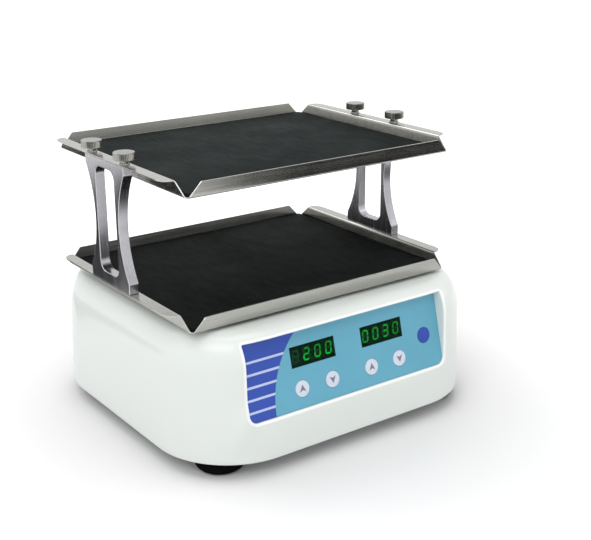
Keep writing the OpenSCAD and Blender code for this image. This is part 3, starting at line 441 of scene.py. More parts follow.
def makeHousing():
    # rows of one round-cornered outline, each drawn in by its level's inset, with a recess patch let into the front
    # and the back, and a flat lid that has the four post holes
    s = housingShape
    levels = housingLevels()
    centre, turn = housingStations()
    stations = len(centre)
    radius = s["cornerRadius"] - levels[:, 1]
    flat = centre[None] + turn[None] * radius[:, None, None]
    sheet = np.concatenate([flat, np.repeat(levels[:, 0][:, None, None], stations, 1)], -1)
    front = np.arange(-s["patchCorner"], s["frontSteps"] + s["patchCorner"] + 1) % stations
    backAt = s["frontSteps"] + s["sideSteps"] + 2 * s["cornerSteps"]
    rear = np.arange(backAt - s["patchCorner"], backAt + s["rearSteps"])
    frontHoles = [boxLoop(x * mm, y * mm, *panelShape["displayHole"]) for x, y in panelShape["displays"]]
    frontHoles += [circleLoop(x * mm, y * mm, panelShape["stemHole"]) for x, y in panelShape["keys"].values()]
    rearHoles = [boxLoop(-x, 0, w, h) for x, w, h in (rearShape["inlet"], rearShape["switch"])]
    rearPlane = planeFrame(rearShape["centre"], (0, 1, 0), (-1, 0, 0))
    cut = np.zeros((len(levels) - 1, stations), bool)
    patches = []
    for columns, (low, high), planeAt, shape, holes in (
            (front, s["frontRows"], panelFrame(), panelShape, frontHoles),
            (rear, s["rearRows"], rearPlane, rearShape, rearHoles)):
        edge, counts = patchEdge(sheet, columns, low, high)
        patches += recessPatch(planeAt, shape, edge, counts, holes)
        cut[low:high, columns[:-1]] = True
    quads = gridFaces(len(levels), stations, closeCols=True)[~cut.reshape(-1)]
    postX, postY = s["postAt"]
    postHoles = [circleLoop(sx * postX, sy * postY, s["postHole"], 64) for sx in (-1, 1) for sy in (-1, 1)]
    lid, lidFaces = fillFlat(sheet[-1][:, :2], postHoles)
    sheets = [(sheet, quads), (atHeight(lid, levels[-1, 0]), lidFaces)] + patches
    piece = makePiece("housing_shell", sheets, sharpAngle=40)
    markRimHighlight(piece)
    solidify(piece, s["wall"], even=False)
    standIn(piece, "base", "housing_white", "housing")


makeHousing()
print("housing shell made")


trayShape = {
    "length": 300 * mm, "depth": 250 * mm, "sheet": 1.2 * mm, "flange": 14 * mm,
    "leanFront": 1.5 * mm, "leanSide": 2 * mm, "lip": 11.5 * mm, "notch": 12 * mm, "lipBack": 2 * mm,
    "lipCorner": 10.5 * mm, "bend": 1.5 * mm, "bendSteps": 5, "bendRun": 1.4,
    "along": 49, "across": 41, "frontStep": 3 * mm, "sideStep": 2 * mm, "edge": 0.16 * mm,
}


def flangePath(half, lean, lip):
    # middle line of the sheet from the floor up the flange, and out along the lip where there is one; the flange
    # leans out by lean over its height
    s = trayShape
    t = s["sheet"] / 2
    slope = lean / s["flange"]
    corner = (half - t + slope * t, t)
    start = (corner[0] - s["bendRun"] * s["bend"], t)
    rise = s["flange"] - t
    ends = [(half - t + slope * rise, rise), (half + lean + lip, rise)] if lip else [(half - t + lean, s["flange"])]
    return filletPath([start, corner] + ends, s["bend"], s["bendSteps"])


def finerPath(path, step):
    # each stretch is cut into the fewest equal parts that are no longer than the step
    rows = [path[0]]
    for a, b in zip(path[:-1], path[1:]):
        n = max(1, int(np.ceil(np.linalg.norm(b - a) / step)))
        rows += [a + (b - a) * k / n for k in range(1, n + 1)]
    return np.array(rows)


def makeTray(name, node):
    # a floor, and four flanges that are a folded path carried along the tray's edge: across the path the width runs
    # from -limit to limit, and the limit shrinks with the height to leave the corner notches
    s = trayShape
    low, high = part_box(node)
    corner = np.array([(low.x + high.x) / 2, 0, low.z])
    u, v = np.linspace(-1, 1, s["along"]), np.linspace(-1, 1, s["across"])
    half = s["sheet"] / 2
    frontPath = finerPath(flangePath(s["depth"] / 2, s["leanFront"], 0), s["frontStep"])
    sidePath = finerPath(flangePath(s["length"] / 2, s["leanSide"], s["lip"]), s["sideStep"])
    halfX, halfY = sidePath[0, 0], frontPath[0, 0]
    fx, fy = np.meshgrid(u * halfX, v * halfY)
    sheets = [(np.stack([fx, fy, 0 * fx + half], -1), gridFaces(len(v), len(u)))]
    frontLimit = halfX - s["notch"] * (frontPath[:, 1] - half) / (s["flange"] - half)
    rise = np.clip((sidePath[:, 1] - half) / (s["flange"] - s["sheet"]), 0, 1)
    past = np.clip(sidePath[:, 0] - (sidePath[-1, 0] - s["lipCorner"]), 0, s["lipCorner"])
    rounding = s["lipCorner"] - np.sqrt(s["lipCorner"] ** 2 - past ** 2)
    sideLimit = halfY - (s["notch"] + s["lipBack"]) * rise - rounding
    for path, limit, share, axes in ((frontPath, frontLimit, u, (0, 1, 2)), (sidePath, sideLimit, v, (1, 0, 2))):
        for side in (-1, 1):
            points = np.stack([share[None] * limit[:, None], np.repeat(side * path[:, 0:1], len(share), 1),
                               np.repeat(path[:, 1:2], len(share), 1)], -1)
            sheets.append((points[..., axes], gridFaces(len(path), len(share))))
    piece = makePiece(name, [(points + corner, faces) for points, faces in sheets])
    solidify(piece, s["sheet"], offset=0)
    softenEdges(piece, s["edge"], angle=60)
    standIn(piece, "platform", "tray_steel", node)


makeTray("lower_tray_sheet", "lower_tray")
makeTray("upper_tray_sheet", "upper_tray")
print("trays made")


matShape = {
    "corner": 2 * mm, "cornerShrink": 0.9, "edge": 0.8 * mm, "edgeSteps": 5, "arcSteps": 6, "sideSteps": 12,
}


def makeMat(name, node, slotName):
    # a flat slab whose upper edge is turned over in a quarter circle: at angle a the outline is drawn in by
    # edge (1 - cos a) and lies edge (1 - sin a) below the top
    s = matShape
    low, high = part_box(node)
    middle = ((high.x + low.x) / 2, (high.y + low.y) / 2)
    rows = [(0, 0.0)] + [(s["edge"] * (1 - math.cos(a)), high.z - low.z - s["edge"] * (1 - math.sin(a)))
                         for a in np.radians(np.linspace(0, 90, s["edgeSteps"]))]
    loops = [roundedOutline(high.x - low.x - 2 * inset, high.y - low.y - 2 * inset,
                            s["corner"] - inset * s["cornerShrink"], s["arcSteps"], s["sideSteps"])
             for inset, _ in rows]
    side = np.stack([atHeight(loop + middle, low.z + z) for loop, (_, z) in zip(loops, rows)])
    ring = list(range(side.shape[1]))
    sheets = [(side, gridFaces(len(rows), side.shape[1], closeCols=True)),
              (side[0], [ring[::-1]]), (side[-1], [ring])]
    standIn(makePiece(name, sheets, sharpAngle=35), "platform", slotName, node)


makeMat("lower_mat_sheet", "lower_mat", "mat_rubber_lower")
makeMat("upper_mat_sheet", "upper_mat", "mat_rubber_upper")
print("mats made")


bracketShape = {
    "foot": 10 * mm, "head": 8 * mm, "waist": 47 * mm, "waistShare": 0.51,
    "slotWidth": 37 * mm, "slotLow": 11 * mm, "slotTop": 8 * mm, "slotCorner": 9 * mm, "slotSteps": (24, 40),
    "edge": 0.7 * mm, "edgeSteps": 5, "cornerEdge": 0.9 * mm, "outlineSteps": 300, "curveSteps": 90,
    "step": 0.01 * mm,                       # over this height the straight foot and head pass into the arcs
}
loopSampling = {"fine": 6000, "bendSpan": 40, "bendWeight": 14}


def sideCurve(z, height, half):
    # half the plate's width at height z: a straight foot, then two arcs that meet at the waist, each
    # waist + r - sqrt(r^2 - (z - waist's height)^2)
    s = bracketShape
    waistZ = height * s["waistShare"]
    waist = s["waist"] / 2
    reach = half - waist
    lowRise, highRise = waistZ - s["foot"], height - s["head"] - waistZ
    lowR = (lowRise ** 2 + reach ** 2) / (2 * reach)
    highR = (highRise ** 2 + reach ** 2) / (2 * reach)
    radius = np.where(z < waistZ, lowR, highR)
    curve = waist + radius - np.sqrt(np.maximum(radius ** 2 - (z - waistZ) ** 2, 0))
    return np.where((z < s["foot"]) | (z > height - s["head"]), half, curve)


def smoothLoop(points, count, radius):
    # the closed outline with its corners eased by a running mean over the radius, then stepped again, closer
    # together where it bends
    fineSteps, span = loopSampling["fine"], loopSampling["bendSpan"]
    points = np.asarray(points, float)
    closed = np.concatenate([points, points[:1]])
    run = np.concatenate([[0], np.cumsum(np.linalg.norm(np.diff(closed, axis=0), axis=1))])
    fine = np.linspace(0, run[-1], fineSteps + 1)[:-1]
    line = np.stack([np.interp(fine, run, closed[:, k]) for k in (0, 1)], -1)
    window = max(1, int(radius / (run[-1] / fineSteps)))
    kernel = np.ones(2 * window + 1) / (2 * window + 1)
    wrapped = np.concatenate([line[-window:], line, line[:window]])
    eased = np.stack([np.convolve(wrapped[:, k], kernel, "valid") for k in (0, 1)], -1)
    bend = np.linalg.norm(np.roll(eased, -span, 0) + np.roll(eased, span, 0) - 2 * eased, axis=1)
    weight = 1 + loopSampling["bendWeight"] * bend / max(bend.max(), 1e-12)
    along = np.concatenate([[0], np.cumsum(weight)])
    place = np.arange(fineSteps + 1)
    pick = np.interp(np.linspace(0, along[-1], count + 1)[:-1], along, place)
    return np.stack([np.interp(pick, place, np.append(eased[:, k], eased[0, k])) for k in (0, 1)], -1)


def loopNormals(loop):
    # the run from the point before to the point after, turned a quarter clockwise
    run = np.roll(loop, -1, 0) - np.roll(loop, 1, 0)
    run /= np.linalg.norm(run, axis=1, keepdims=True)
    return np.stack([run[:, 1], -run[:, 0]], -1)


def makeBracket(name, node):
    # a section carried round the plate: up the outer wall, over the face, down the slot's wall and back under it,
    # with quarter circles of the edge's radius at its four corners
    s = bracketShape
    low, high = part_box(node)
    height, half = high.z - low.z, (high.y - low.y) / 2
    foot, head, step = s["foot"], height - s["head"], s["step"]
    rise = np.concatenate([[0, foot - step], np.linspace(foot, head, s["curveSteps"]), [head + step, height]])
    right = np.stack([sideCurve(rise, height, half), rise], -1)
    left = right[::-1] * np.array([-1, 1])
    outer = smoothLoop(np.concatenate([right, left]), s["outlineSteps"], s["cornerEdge"])
    slotHeight = height - s["slotLow"] - s["slotTop"]
    centre = np.array([0, s["slotLow"] + slotHeight / 2])
    slot = roundedOutline(s["slotWidth"], slotHeight, s["slotCorner"], *s["slotSteps"]) + centre
    # each outer point is matched with the slot's point in the same direction from the slot's middle
    slotAngle, wanted = (np.unwrap(np.arctan2(*(loop - centre).T[::-1])) for loop in (slot, outer))
    order = np.argsort(slotAngle)
    inner = np.stack([np.interp(wanted, slotAngle[order], slot[order, k], period=2 * math.pi) for k in (0, 1)], -1)
    outerNormal, innerNormal = loopNormals(outer), -loopNormals(inner)
    rows = []
    quarter = np.radians(np.linspace(0, 90, s["edgeSteps"]))
    for loop, normal, ends in ((outer, outerNormal, (low.x, high.x)), (inner, innerNormal, (high.x, low.x))):
        for end, angles in zip(ends, (quarter, quarter[::-1])):
            into = 1 if end == low.x else -1
            for a in angles:
                rows.append((loop - normal * s["edge"] * (1 - math.sin(a)),
                             end + into * s["edge"] * (1 - math.cos(a))))
    rows.append(rows[0])
    sheet = np.stack([np.stack([np.full(len(loop), x), loop[:, 0], low.z + loop[:, 1]], -1) for loop, x in rows])
    piece = makePiece(name, [(sheet, gridFaces(len(rows), len(outer), closeCols=True))], sharpAngle=50)
    evenNormals(piece)
    standIn(piece, "platform", "bracket_aluminium", node)


makeBracket("left_bracket_plate", "left_bracket")
makeBracket("right_bracket_plate", "right_bracket")
print("brackets made")


thumbShape = {
    "teeth": 40, "stepsPerTooth": 6, "toothDepth": 0.7 * mm, "band": (5.1 * mm, 11.1 * mm),
    "shankDepth": 8.2 * mm,
    "profile": [                             # millimetres: the shank, the collar, the neck and the head
        (0.0, -8.2), (2.6, -8.2), (3.0, -7.8), (3.0, -0.02),
        (4.7, 0.0), (4.8, 0.1), (4.8, 1.3), (4.7, 1.5),
        (4.2, 1.6), (4.0, 1.8), (4.0, 3.0), (4.2, 3.2), (4.7, 3.3), (4.8, 3.5), (4.8, 4.4), (5.1, 4.55),
        (9.3, 4.6), (9.6, 4.7), (9.85, 4.9), (10.0, 5.15), (10.0, 7.2), (10.0, 9.1), (10.0, 11.05), (9.85, 11.3),
        (9.6, 11.48), (9.3, 11.54), (8.8, 11.56), (6.0, 11.59), (0.0, 11.6)],
}


def makeThumbScrew(number):
    # the profile carried round, with a zigzag of teeth cut into the head's band: depth * |2 (turn * teeth mod 1) - 1|
    node = f"thumb_screw_{number}"
    s = thumbShape
    low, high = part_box(node)

    def teeth(angle, rows):
        onBand = (rows[:, 1] > s["band"][0]) & (rows[:, 1] < s["band"][1])
        wave = abs(((angle * s["teeth"] / (2 * math.pi)) % 1) * 2 - 1)
        return -s["toothDepth"] * wave * onBand[:, None]

    seat = ((low.x + high.x) / 2, (low.y + high.y) / 2, low.z + s["shankDepth"])
    turned = lathe(np.array(s["profile"]) * mm, seat, s["teeth"] * s["stepsPerTooth"], teeth)
    piece = makePiece(f"thumb_screw_{number}_turned", [turned], sharpAngle=28)
    standIn(piece, f"thumb_screw_body_{number}", "thumb_steel", node)


for number in (1, 2, 3, 4):
    makeThumbScrew(number)
print("thumb screws made")


footShape = {
    "at": (131 * mm, 119 * mm), "turnSteps": 96, "bowlSteps": 13,
    "tread": 17, "reach": 7.8, "treadHeight": 0.5, "bowl": 10.5,     # millimetres, as the points below
    "under": [(2.6, 15), (2.6, 7), (6, 7), (6, 0.6), (6.4, 0.15), (7, 0), (16, 0), (16.7, 0.15)],
    "bead": [(24.8, 12.0), (24.5, 12.35), (24.5, 12.7), (24.9, 13.0), (25, 13.4), (25, 15), (2.6, 15)],
}


def makeFeet():
    # a screw hole and a flat tread, a bowl that is a quarter ellipse (tread + reach sin a, bowl (1 - cos a)), and an
    # upper bead, carried round
    s = footShape
    a = np.radians(np.linspace(0, 90, s["bowlSteps"]))
    bowl = np.stack([s["tread"] + s["reach"] * np.sin(a), s["treadHeight"] + s["bowl"] * (1 - np.cos(a))], -1)
    profile = np.concatenate([s["under"], bowl, s["bead"]]) * mm
    x, y = s["at"]
    sheets = [lathe(profile, (sx * x, sy * y, 0), s["turnSteps"]) for sx in (-1, 1) for sy in (-1, 1)]
    standIn(makePiece("feet_moulded", sheets, sharpAngle=35), "base", "foot_rubber", "feet")


makeFeet()
print("feet made")


keyShape = {
    "radius": 7.75 * mm, "face": 2.0 * mm, "back": 0.7 * mm, "dome": 0.25 * mm, "domeShare": 0.95,
    "edge": 0.35 * mm, "stem": 2.5 * mm, "stemBack": -3.45 * mm, "flange": 3.7 * mm, "flangeFront": -2.6 * mm,
    "domeSteps": 9, "edgeSteps": 5, "turnSteps": 72,
}
arrowShape = {
    "points": [(0, 3.9), (-3.6, -3.1), (0, -1.4), (3.6, -3.1)],     # millimetres, pointing up
    "ways": {"speed_up_key": 1, "speed_down_key": -1, "time_up_key": 1, "time_down_key": -1},
    "ink": 0.04 * mm, "tuck": 0.02 * mm, "flare": 1.02, "ease": 0.2 * mm, "steps": 64,
}


def makeKey(node):
    # a slightly domed disc on its stem: a profile of (radius, out from the panel) carried round the key's axis; the
    # dome falls with the square of the radius, and its rim is a quarter circle
    s = keyShape
    x, y = panelShape["keys"][node]
    r, a = np.linspace(0, 1, s["domeSteps"]), np.radians(np.linspace(0, 90, s["edgeSteps"]))
    dome = np.stack([s["radius"] * s["domeShare"] * r, s["face"] - s["dome"] * r ** 2], -1)
    rim = np.stack([s["radius"] - s["edge"] * (1 - np.sin(a)),
                    s["face"] - s["dome"] - s["edge"] * (1 - np.cos(a))], -1)
    stem = [(s["radius"], s["back"]), (s["stem"], s["back"]), (s["stem"], s["flangeFront"]),
            (s["flange"], s["flangeFront"]), (s["flange"], s["stemBack"]), (0, s["stemBack"])]
    profile = np.concatenate([dome, rim, stem])
    steps = s["turnSteps"]
    turn = wholeTurn(steps)
    flat = np.stack([x * mm + profile[:, 0:1] * np.cos(turn), y * mm + profile[:, 0:1] * np.sin(turn)], -1)
    points = onPlane(panelFrame(), flat, np.repeat(profile[:, 1:2], steps, 1))
    piece = makePiece(f"{node}_cap", [(points, gridFaces(len(profile), steps, closeCols=True))], sharpAngle=35)
    slotName = "key_pale" if node in arrowShape["ways"] else "key_blue"
    standIn(piece, f"{node}_body", slotName, node)


def makeArrow(node, way):
    # an arrowhead printed on the key, laid on its dome and turned down a little round its edge
    s, key = arrowShape, keyShape
    tip = np.array(s["points"]) * np.array([1, way])
    outline = smoothLoop((tip[::-1] if way < 0 else tip) * mm, s["steps"], s["ease"])

    def onDome(flat, out):
        share = np.hypot(*flat.T) / (key["domeShare"] * key["radius"])
        shift = np.array(panelShape["keys"][node]) * mm
        return onPlane(panelFrame(), flat + shift, key["face"] - key["dome"] * share ** 2 + out)

    face, faces = fillFlat(outline, [])
    edge = np.stack([onDome(outline, s["ink"]), onDome(outline * s["flare"], -s["tuck"])])
    piece = makePiece(f"{node}_arrow", [(onDome(face, s["ink"]), faces),
                                        (edge, gridFaces(2, len(outline), closeCols=True))])
    extra(piece, f"{node}_body", "key_arrow")


for node in panelShape["keys"]:
    makeKey(node)
    if node in arrowShape["ways"]:
        makeArrow(node, arrowShape["ways"][node])
print("keys made")


segmentShape = {
    "width": 5.9, "height": 10.6, "bar": 1.4, "gap": 0.25, "lean": 0.1, "pitch": 12.7,       # millimetres
    "point": (5.0, -5.6, 0.55), "pointSteps": 16,    # the decimal point's place and radius
    "out": 0.02 * mm,                                # how far the bars stand before the display's face
    "shown": ((None, 2, 0, 0), (0, 0, 3, 0)),
    "lit": {0: (0, 1, 2, 3, 4, 5), 2: (0, 1, 3, 4, 6), 3: (0, 1, 2, 3, 6), None: ()},
}


def barOutline(number):
    # one of the seven bars, a flat hexagon that leans with the digit: x + lean * y
    s = segmentShape
    w, h = s["width"], s["height"]
    x, y, level = ((0, h / 2, 1), (w / 2, h / 4, 0), (w / 2, -h / 4, 0), (0, -h / 2, 1), (-w / 2, -h / 4, 0),
                   (-w / 2, h / 4, 0), (0, 0, 1))[number]
    long, t = (w if level else h / 2) / 2 - s["gap"], s["bar"] / 2
    hexagon = np.array([(-long, 0), (-long + t, -t), (long - t, -t), (long, 0), (long - t, t), (-long + t, t)])
    hexagon = (hexagon if level else hexagon[:, ::-1][::-1]) + (x, y)
    return hexagon + np.stack([s["lean"] * hexagon[:, 1], 0 * hexagon[:, 1]], -1)


def digitFace():
    # how far the bars stand from the panel's plane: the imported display's front face and a hair more
    origin, _, _, outward = panelFrame()
    return float(((meshPoints(nodes["speed_display"].data) - origin) @ outward).max()) + segmentShape["out"]


def makeUnlit():
    # the unlit bars and decimal points, flat faces that show faintly behind the window through a faint painted glow
    # of their own, standing in for the light they reflect
    s = segmentShape
    pointX, pointY, pointRadius = s["point"]
    planeAt, face = panelFrame(), digitFace()
    sheets = []
    for (cx, cy), numbers in zip(panelShape["displays"], s["shown"]):
        for place, number in enumerate(numbers):
            at = np.array([cx + (place - 1.5) * s["pitch"], cy])
            loops = [barOutline(k) + at for k in range(7) if k not in s["lit"][number]]
            loops.append(circleLoop(at[0] + pointX, at[1] + pointY, pointRadius, s["pointSteps"]))
            for loop in loops:
                sheets.append((onPlane(planeAt, loop * mm, np.full(len(loop), face)), [list(range(len(loop)))]))
    extra(makePiece("unlit_bars", sheets), "base", "digit_unlit")


makeUnlit()
print("unlit bars made")


def addNode(tree, kind, values=None, links=None):
    # a shader node with constants on some of its sockets and links into others
    node = tree.nodes.new(kind)
    for socket, value in (values or {}).items():
        node.inputs[socket].default_value = value
    for socket, source in (links or {}).items():
        tree.links.new(source, node.inputs[socket])
    return node


def newFinish(name, colour, roughness, metallic=0.0, **sockets):
    # a principled material; constants go straight onto the shader's sockets
    material = bpy.data.materials.new(name)
    material.use_nodes = True
    tree = material.node_tree
    shader = tree.nodes["Principled BSDF"]
    constants = {"Base Color": (*colour, 1), "Roughness": roughness, "Metallic": metallic, **sockets}
    for socket, value in constants.items():
        shader.inputs[socket].default_value = value
    return material, tree, shader


def placed(tree, scale=(1, 1, 1), turn=(0, 0, 0)):
    # Object coordinates, stretched and turned by a Mapping node
    coordinates = addNode(tree, "ShaderNodeTexCoord").outputs["Object"]
    values = {"Scale": scale, "Rotation": turn}
    return addNode(tree, "ShaderNodeMapping", values, {"Vector": coordinates}).outputs["Vector"]


def noise(tree, vector, scale, detail=4.0, roughness=0.55, distortion=0.0):
    # layered noise, which lies mostly between 0.3 and 0.7
    values = {"Scale": scale, "Detail": detail, "Roughness": roughness, "Distortion": distortion}
    return addNode(tree, "ShaderNodeTexNoise", values, {"Vector": vector}).outputs["Fac"]


def spread(tree, value, low, high, fromLow=0.3, fromHigh=0.7):
    # carries the stretch from fromLow to fromHigh over to low and high, and clips past it
    values = {"From Min": fromLow, "From Max": fromHigh, "To Min": low, "To Max": high}
    return addNode(tree, "ShaderNodeMapRange", values, {"Value": value}).outputs["Result"]


def maths(tree, operation, *sources):
    # each source is a number or another node's output
    node = tree.nodes.new("ShaderNodeMath")
    node.operation = operation
    for socket, source in zip(node.inputs, sources):
        if isinstance(source, (int, float)):
            socket.default_value = source
        else:
            tree.links.new(source, socket)
    return node.outputs[0]


def weighed(tree, first, second, share):
    # share * first + (1 - share) * second
    return maths(tree, "ADD", maths(tree, "MULTIPLY", first, share), maths(tree, "MULTIPLY", second, 1 - share))


def shade(colour, factor):
    return tuple(min(1.0, c * factor) for c in colour)


def blendColour(tree, factor, first, second):
    # each colour is a tuple or another node's output
    node = tree.nodes.new("ShaderNodeMix")
    node.data_type = "RGBA"
    for socket, value in ((node.inputs[6], first), (node.inputs[7], second)):
        if isinstance(value, tuple):
            socket.default_value = (*value, 1)
        else:
            tree.links.new(value, socket)
    tree.links.new(factor, node.inputs[0])
    return node.outputs[2]


def relief(tree, shader, height, depth):
    bump = addNode(tree, "ShaderNodeBump", {"Distance": depth}, {"Height": height})
    tree.links.new(bump.outputs["Normal"], shader.inputs["Normal"])


def tint(tree, shader, value, dark, light, fromLow=0.3, fromHigh=0.7):
    # the base colour runs from dark to light with the value
    mixed = blendColour(tree, spread(tree, value, 0, 1, fromLow, fromHigh), dark, light)
    tree.links.new(mixed, shader.inputs["Base Color"])


def mouldedPlastic(name, colour, roughness, grain=0.02 * mm, mottle=0.02, scale=900.0, **sockets):
    # fine moulded skin, a slow drift of tone and of gloss
    material, tree, shader = newFinish(name, colour, roughness, **sockets)
    broad = noise(tree, placed(tree), 5.0, detail=2)
    tint(tree, shader, broad, shade(colour, 1 - mottle), shade(colour, 1 + mottle))
    tree.links.new(spread(tree, broad, roughness * 0.96, roughness * 1.04), shader.inputs["Roughness"])
    relief(tree, shader, noise(tree, placed(tree), scale, detail=3), grain)
    return material


def brushedMetal(name, colour, roughness, along=(12, 900, 900), streak=0.1, **sockets):
    # long fine streaks, from noise stretched hard along the brushing
    material, tree, shader = newFinish(name, colour, roughness, 1.0, **sockets)
    fine = noise(tree, placed(tree, along), 1.0, detail=6, roughness=0.7)
    wide = noise(tree, placed(tree, tuple(k * 0.22 for k in along)), 1.0, detail=3)
    cloud = noise(tree, placed(tree), 14.0)
    tone = weighed(tree, fine, wide, 0.6)
    tint(tree, shader, tone, shade(colour, 1 - streak), shade(colour, 1 + streak), 0.35, 0.65)
    grain = spread(tree, tone, roughness * 0.8, roughness * 1.2)
    rough = maths(tree, "ADD", grain, spread(tree, cloud, -0.03, 0.04))
    tree.links.new(rough, shader.inputs["Roughness"])
    relief(tree, shader, fine, 0.006 * mm)
    return material


def turnedMetal(name, colour, roughness, scale=1200.0):
    # plated or turned metal with a fine even tooling grain and slight stains
    material, tree, shader = newFinish(name, colour, roughness, 1.0)
    grain = noise(tree, placed(tree, (1, 1, 4)), scale, detail=3, roughness=0.6)
    tint(tree, shader, noise(tree, placed(tree), 60.0, detail=5), shade(colour, 0.86), colour)
    tree.links.new(spread(tree, grain, roughness * 0.8, roughness * 1.25), shader.inputs["Roughness"])
    relief(tree, shader, grain, 0.004 * mm)
    return material


def matRubber(name, colour):
    # pressed rubber sheet: fine pebbles, faint long drag marks and dusty patches
    material, tree, shader = newFinish(name, colour, 0.72, **{"Specular IOR Level": 0.055})
    pebble = noise(tree, placed(tree), 700.0, roughness=0.7)
    drag = noise(tree, placed(tree, (260, 40, 260), (0, 0, 0.5)), 1.0, roughness=0.7)
    dust = noise(tree, placed(tree), 12.0, detail=5, roughness=0.6, distortion=0.4)
    tone = weighed(tree, weighed(tree, drag, dust, 0.4), pebble, 0.7)
    tint(tree, shader, tone, shade(colour, 0.5), shade(colour, 1.7), 0.36, 0.64)
    tree.links.new(spread(tree, tone, 0.85, 0.55), shader.inputs["Roughness"])
    relief(tree, shader, pebble, 0.05 * mm)
    return material


def printedFilm(name, colour):
    # printed polyester film with its fine velvet texture
    material, tree, shader = newFinish(name, colour, 0.34, **{"Coat Weight": 0.18, "Coat Roughness": 0.3})
    velvet = noise(tree, placed(tree), 2600.0, detail=2, roughness=0.6)
    tint(tree, shader, noise(tree, placed(tree), 16.0, detail=3), shade(colour, 0.96), shade(colour, 1.04))
    tree.links.new(spread(tree, velvet, 0.289, 0.408), shader.inputs["Roughness"])
    relief(tree, shader, velvet, 0.006 * mm)
    return material


def litDigit(name, colour, strength):
    # a lit bar, or with a low strength an unlit bar's faint painted glow; the places of a display differ in
    # brightness
    material, tree, shader = newFinish(name, shade(colour, 0.4), 0.4)
    speck = spread(tree, noise(tree, placed(tree), 900.0, detail=2), 0, 1)
    tree.links.new(blendColour(tree, speck, shade(colour, 0.8), colour), shader.inputs["Emission Color"])
    glow = spread(tree, noise(tree, placed(tree), 55.0, detail=0), strength * 0.55, strength * 1.3, 0.35, 0.65)
    tree.links.new(glow, shader.inputs["Emission Strength"])
    return material


def smokedWindow(name, colour):
    # dark green filter pane that lets the lit bars through
    material, tree, shader = newFinish(name, colour, 0.08, **{"Transmission Weight": 1.0, "IOR": 1.14})
    haze = noise(tree, placed(tree), 40.0)
    tree.links.new(spread(tree, haze, 0.05, 0.1), shader.inputs["Roughness"])
    return material


def paintRimHighlight(material, colour):
    # painted highlight: the moulding's colour is blended toward near white along the recess's rim, standing in for
    # the light its rounded lip catches
    tree = material.node_tree
    shader = tree.nodes["Principled BSDF"]
    rim = tree.nodes.new("ShaderNodeAttribute")
    rim.attribute_name = "rim"
    body = shader.inputs["Base Color"].links[0].from_socket
    tree.links.new(blendColour(tree, rim.outputs["Fac"], body, colour), shader.inputs["Base Color"])


finishes = {
    "housing_white": mouldedPlastic("housing_white", (0.775, 0.815, 0.785), 0.3, 0.002 * mm, 0.004, 1500.0,
                                    **{"Coat Weight": 0.25, "Coat Roughness": 0.1, "Specular IOR Level": 0.4}),
    "overlay_teal": printedFilm("overlay_teal", (0.118, 0.402, 0.546)),
    "overlay_blue": printedFilm("overlay_blue", (0.012, 0.062, 0.41)),
    "overlay_pale": printedFilm("overlay_pale", (0.52, 0.58, 0.83)),
    "window_smoke": smokedWindow("window_smoke", (0.10, 0.30, 0.20)),
    "display_black": mouldedPlastic("display_black", (0.022, 0.13, 0.10), 0.5, **{"Specular IOR Level": 0.15}),
    "digit_green": litDigit("digit_green", (0.03, 0.60, 0.07), 2.3),
    # the unlit bars get a faint emission: painted glow standing in for reflected light
    "digit_unlit": litDigit("digit_unlit", (0.06, 0.16, 0.10), 1.1),
    "key_pale": mouldedPlastic("key_pale", (0.66, 0.71, 0.82), 0.4, 0.01 * mm, 0.02, 1800.0),
    "key_arrow": mouldedPlastic("key_arrow", (0.19, 0.19, 0.25), 0.4, 0.006 * mm, 0.05, 1800.0),
    "key_blue": mouldedPlastic("key_blue", (0.018, 0.062, 0.40), 0.35, 0.01 * mm, 0.03, 1800.0),
    "tray_steel": brushedMetal("tray_steel", (0.42, 0.418, 0.392), 0.21, Anisotropic=0.2),
    # both mats are one rubber: the lower mat's darker colour is painted shade from the upper tray above it
    "mat_rubber_upper": matRubber("mat_rubber_upper", (0.0072, 0.0100, 0.0096)),
    "mat_rubber_lower": matRubber("mat_rubber_lower", (0.0044, 0.0062, 0.0058)),
    "bracket_aluminium": brushedMetal("bracket_aluminium", (0.45, 0.447, 0.475), 0.24, (500, 500, 18), 0.07),
    "thumb_steel": turnedMetal("thumb_steel", (0.31, 0.307, 0.285), 0.22),
    "foot_rubber": mouldedPlastic("foot_rubber", (0.004, 0.004, 0.004), 0.9, 0.03 * mm, 0.2, 500.0,
                                  **{"Specular IOR Level": 0.02}),
    "plated_steel": brushedMetal("plated_steel", (0.55, 0.57, 0.58), 0.4, (30, 400, 400), 0.08),
    "screw_steel": turnedMetal("screw_steel", (0.6, 0.6, 0.6), 0.3),
    "board_green": mouldedPlastic("board_green", (0.012, 0.09, 0.035), 0.35),
    "part_black": mouldedPlastic("part_black", (0.016, 0.016, 0.017), 0.38, 0.02 * mm, 0.15, 700.0),
    "pin_brass": turnedMetal("pin_brass", (0.75, 0.68, 0.45), 0.25),
    "rocker_red": mouldedPlastic("rocker_red", (0.32, 0.012, 0.010), 0.22, 0.008 * mm, 0.05, 900.0),
    "motor_grey": mouldedPlastic("motor_grey", (0.035, 0.035, 0.038), 0.45, 0.04 * mm, 0.1, 600.0),
    "shaft_steel": turnedMetal("shaft_steel", (0.62, 0.63, 0.65), 0.2),
    "turned_aluminium": turnedMetal("turned_aluminium", (0.66, 0.67, 0.69), 0.3),
    "belt_rubber": mouldedPlastic("belt_rubber", (0.015, 0.015, 0.015), 0.7, 0.05 * mm, 0.2, 400.0),
    "cast_aluminium": turnedMetal("cast_aluminium", (0.5, 0.51, 0.52), 0.5, 300.0),
    "weight_iron": turnedMetal("weight_iron", (0.25, 0.25, 0.26), 0.5, 400.0),
}


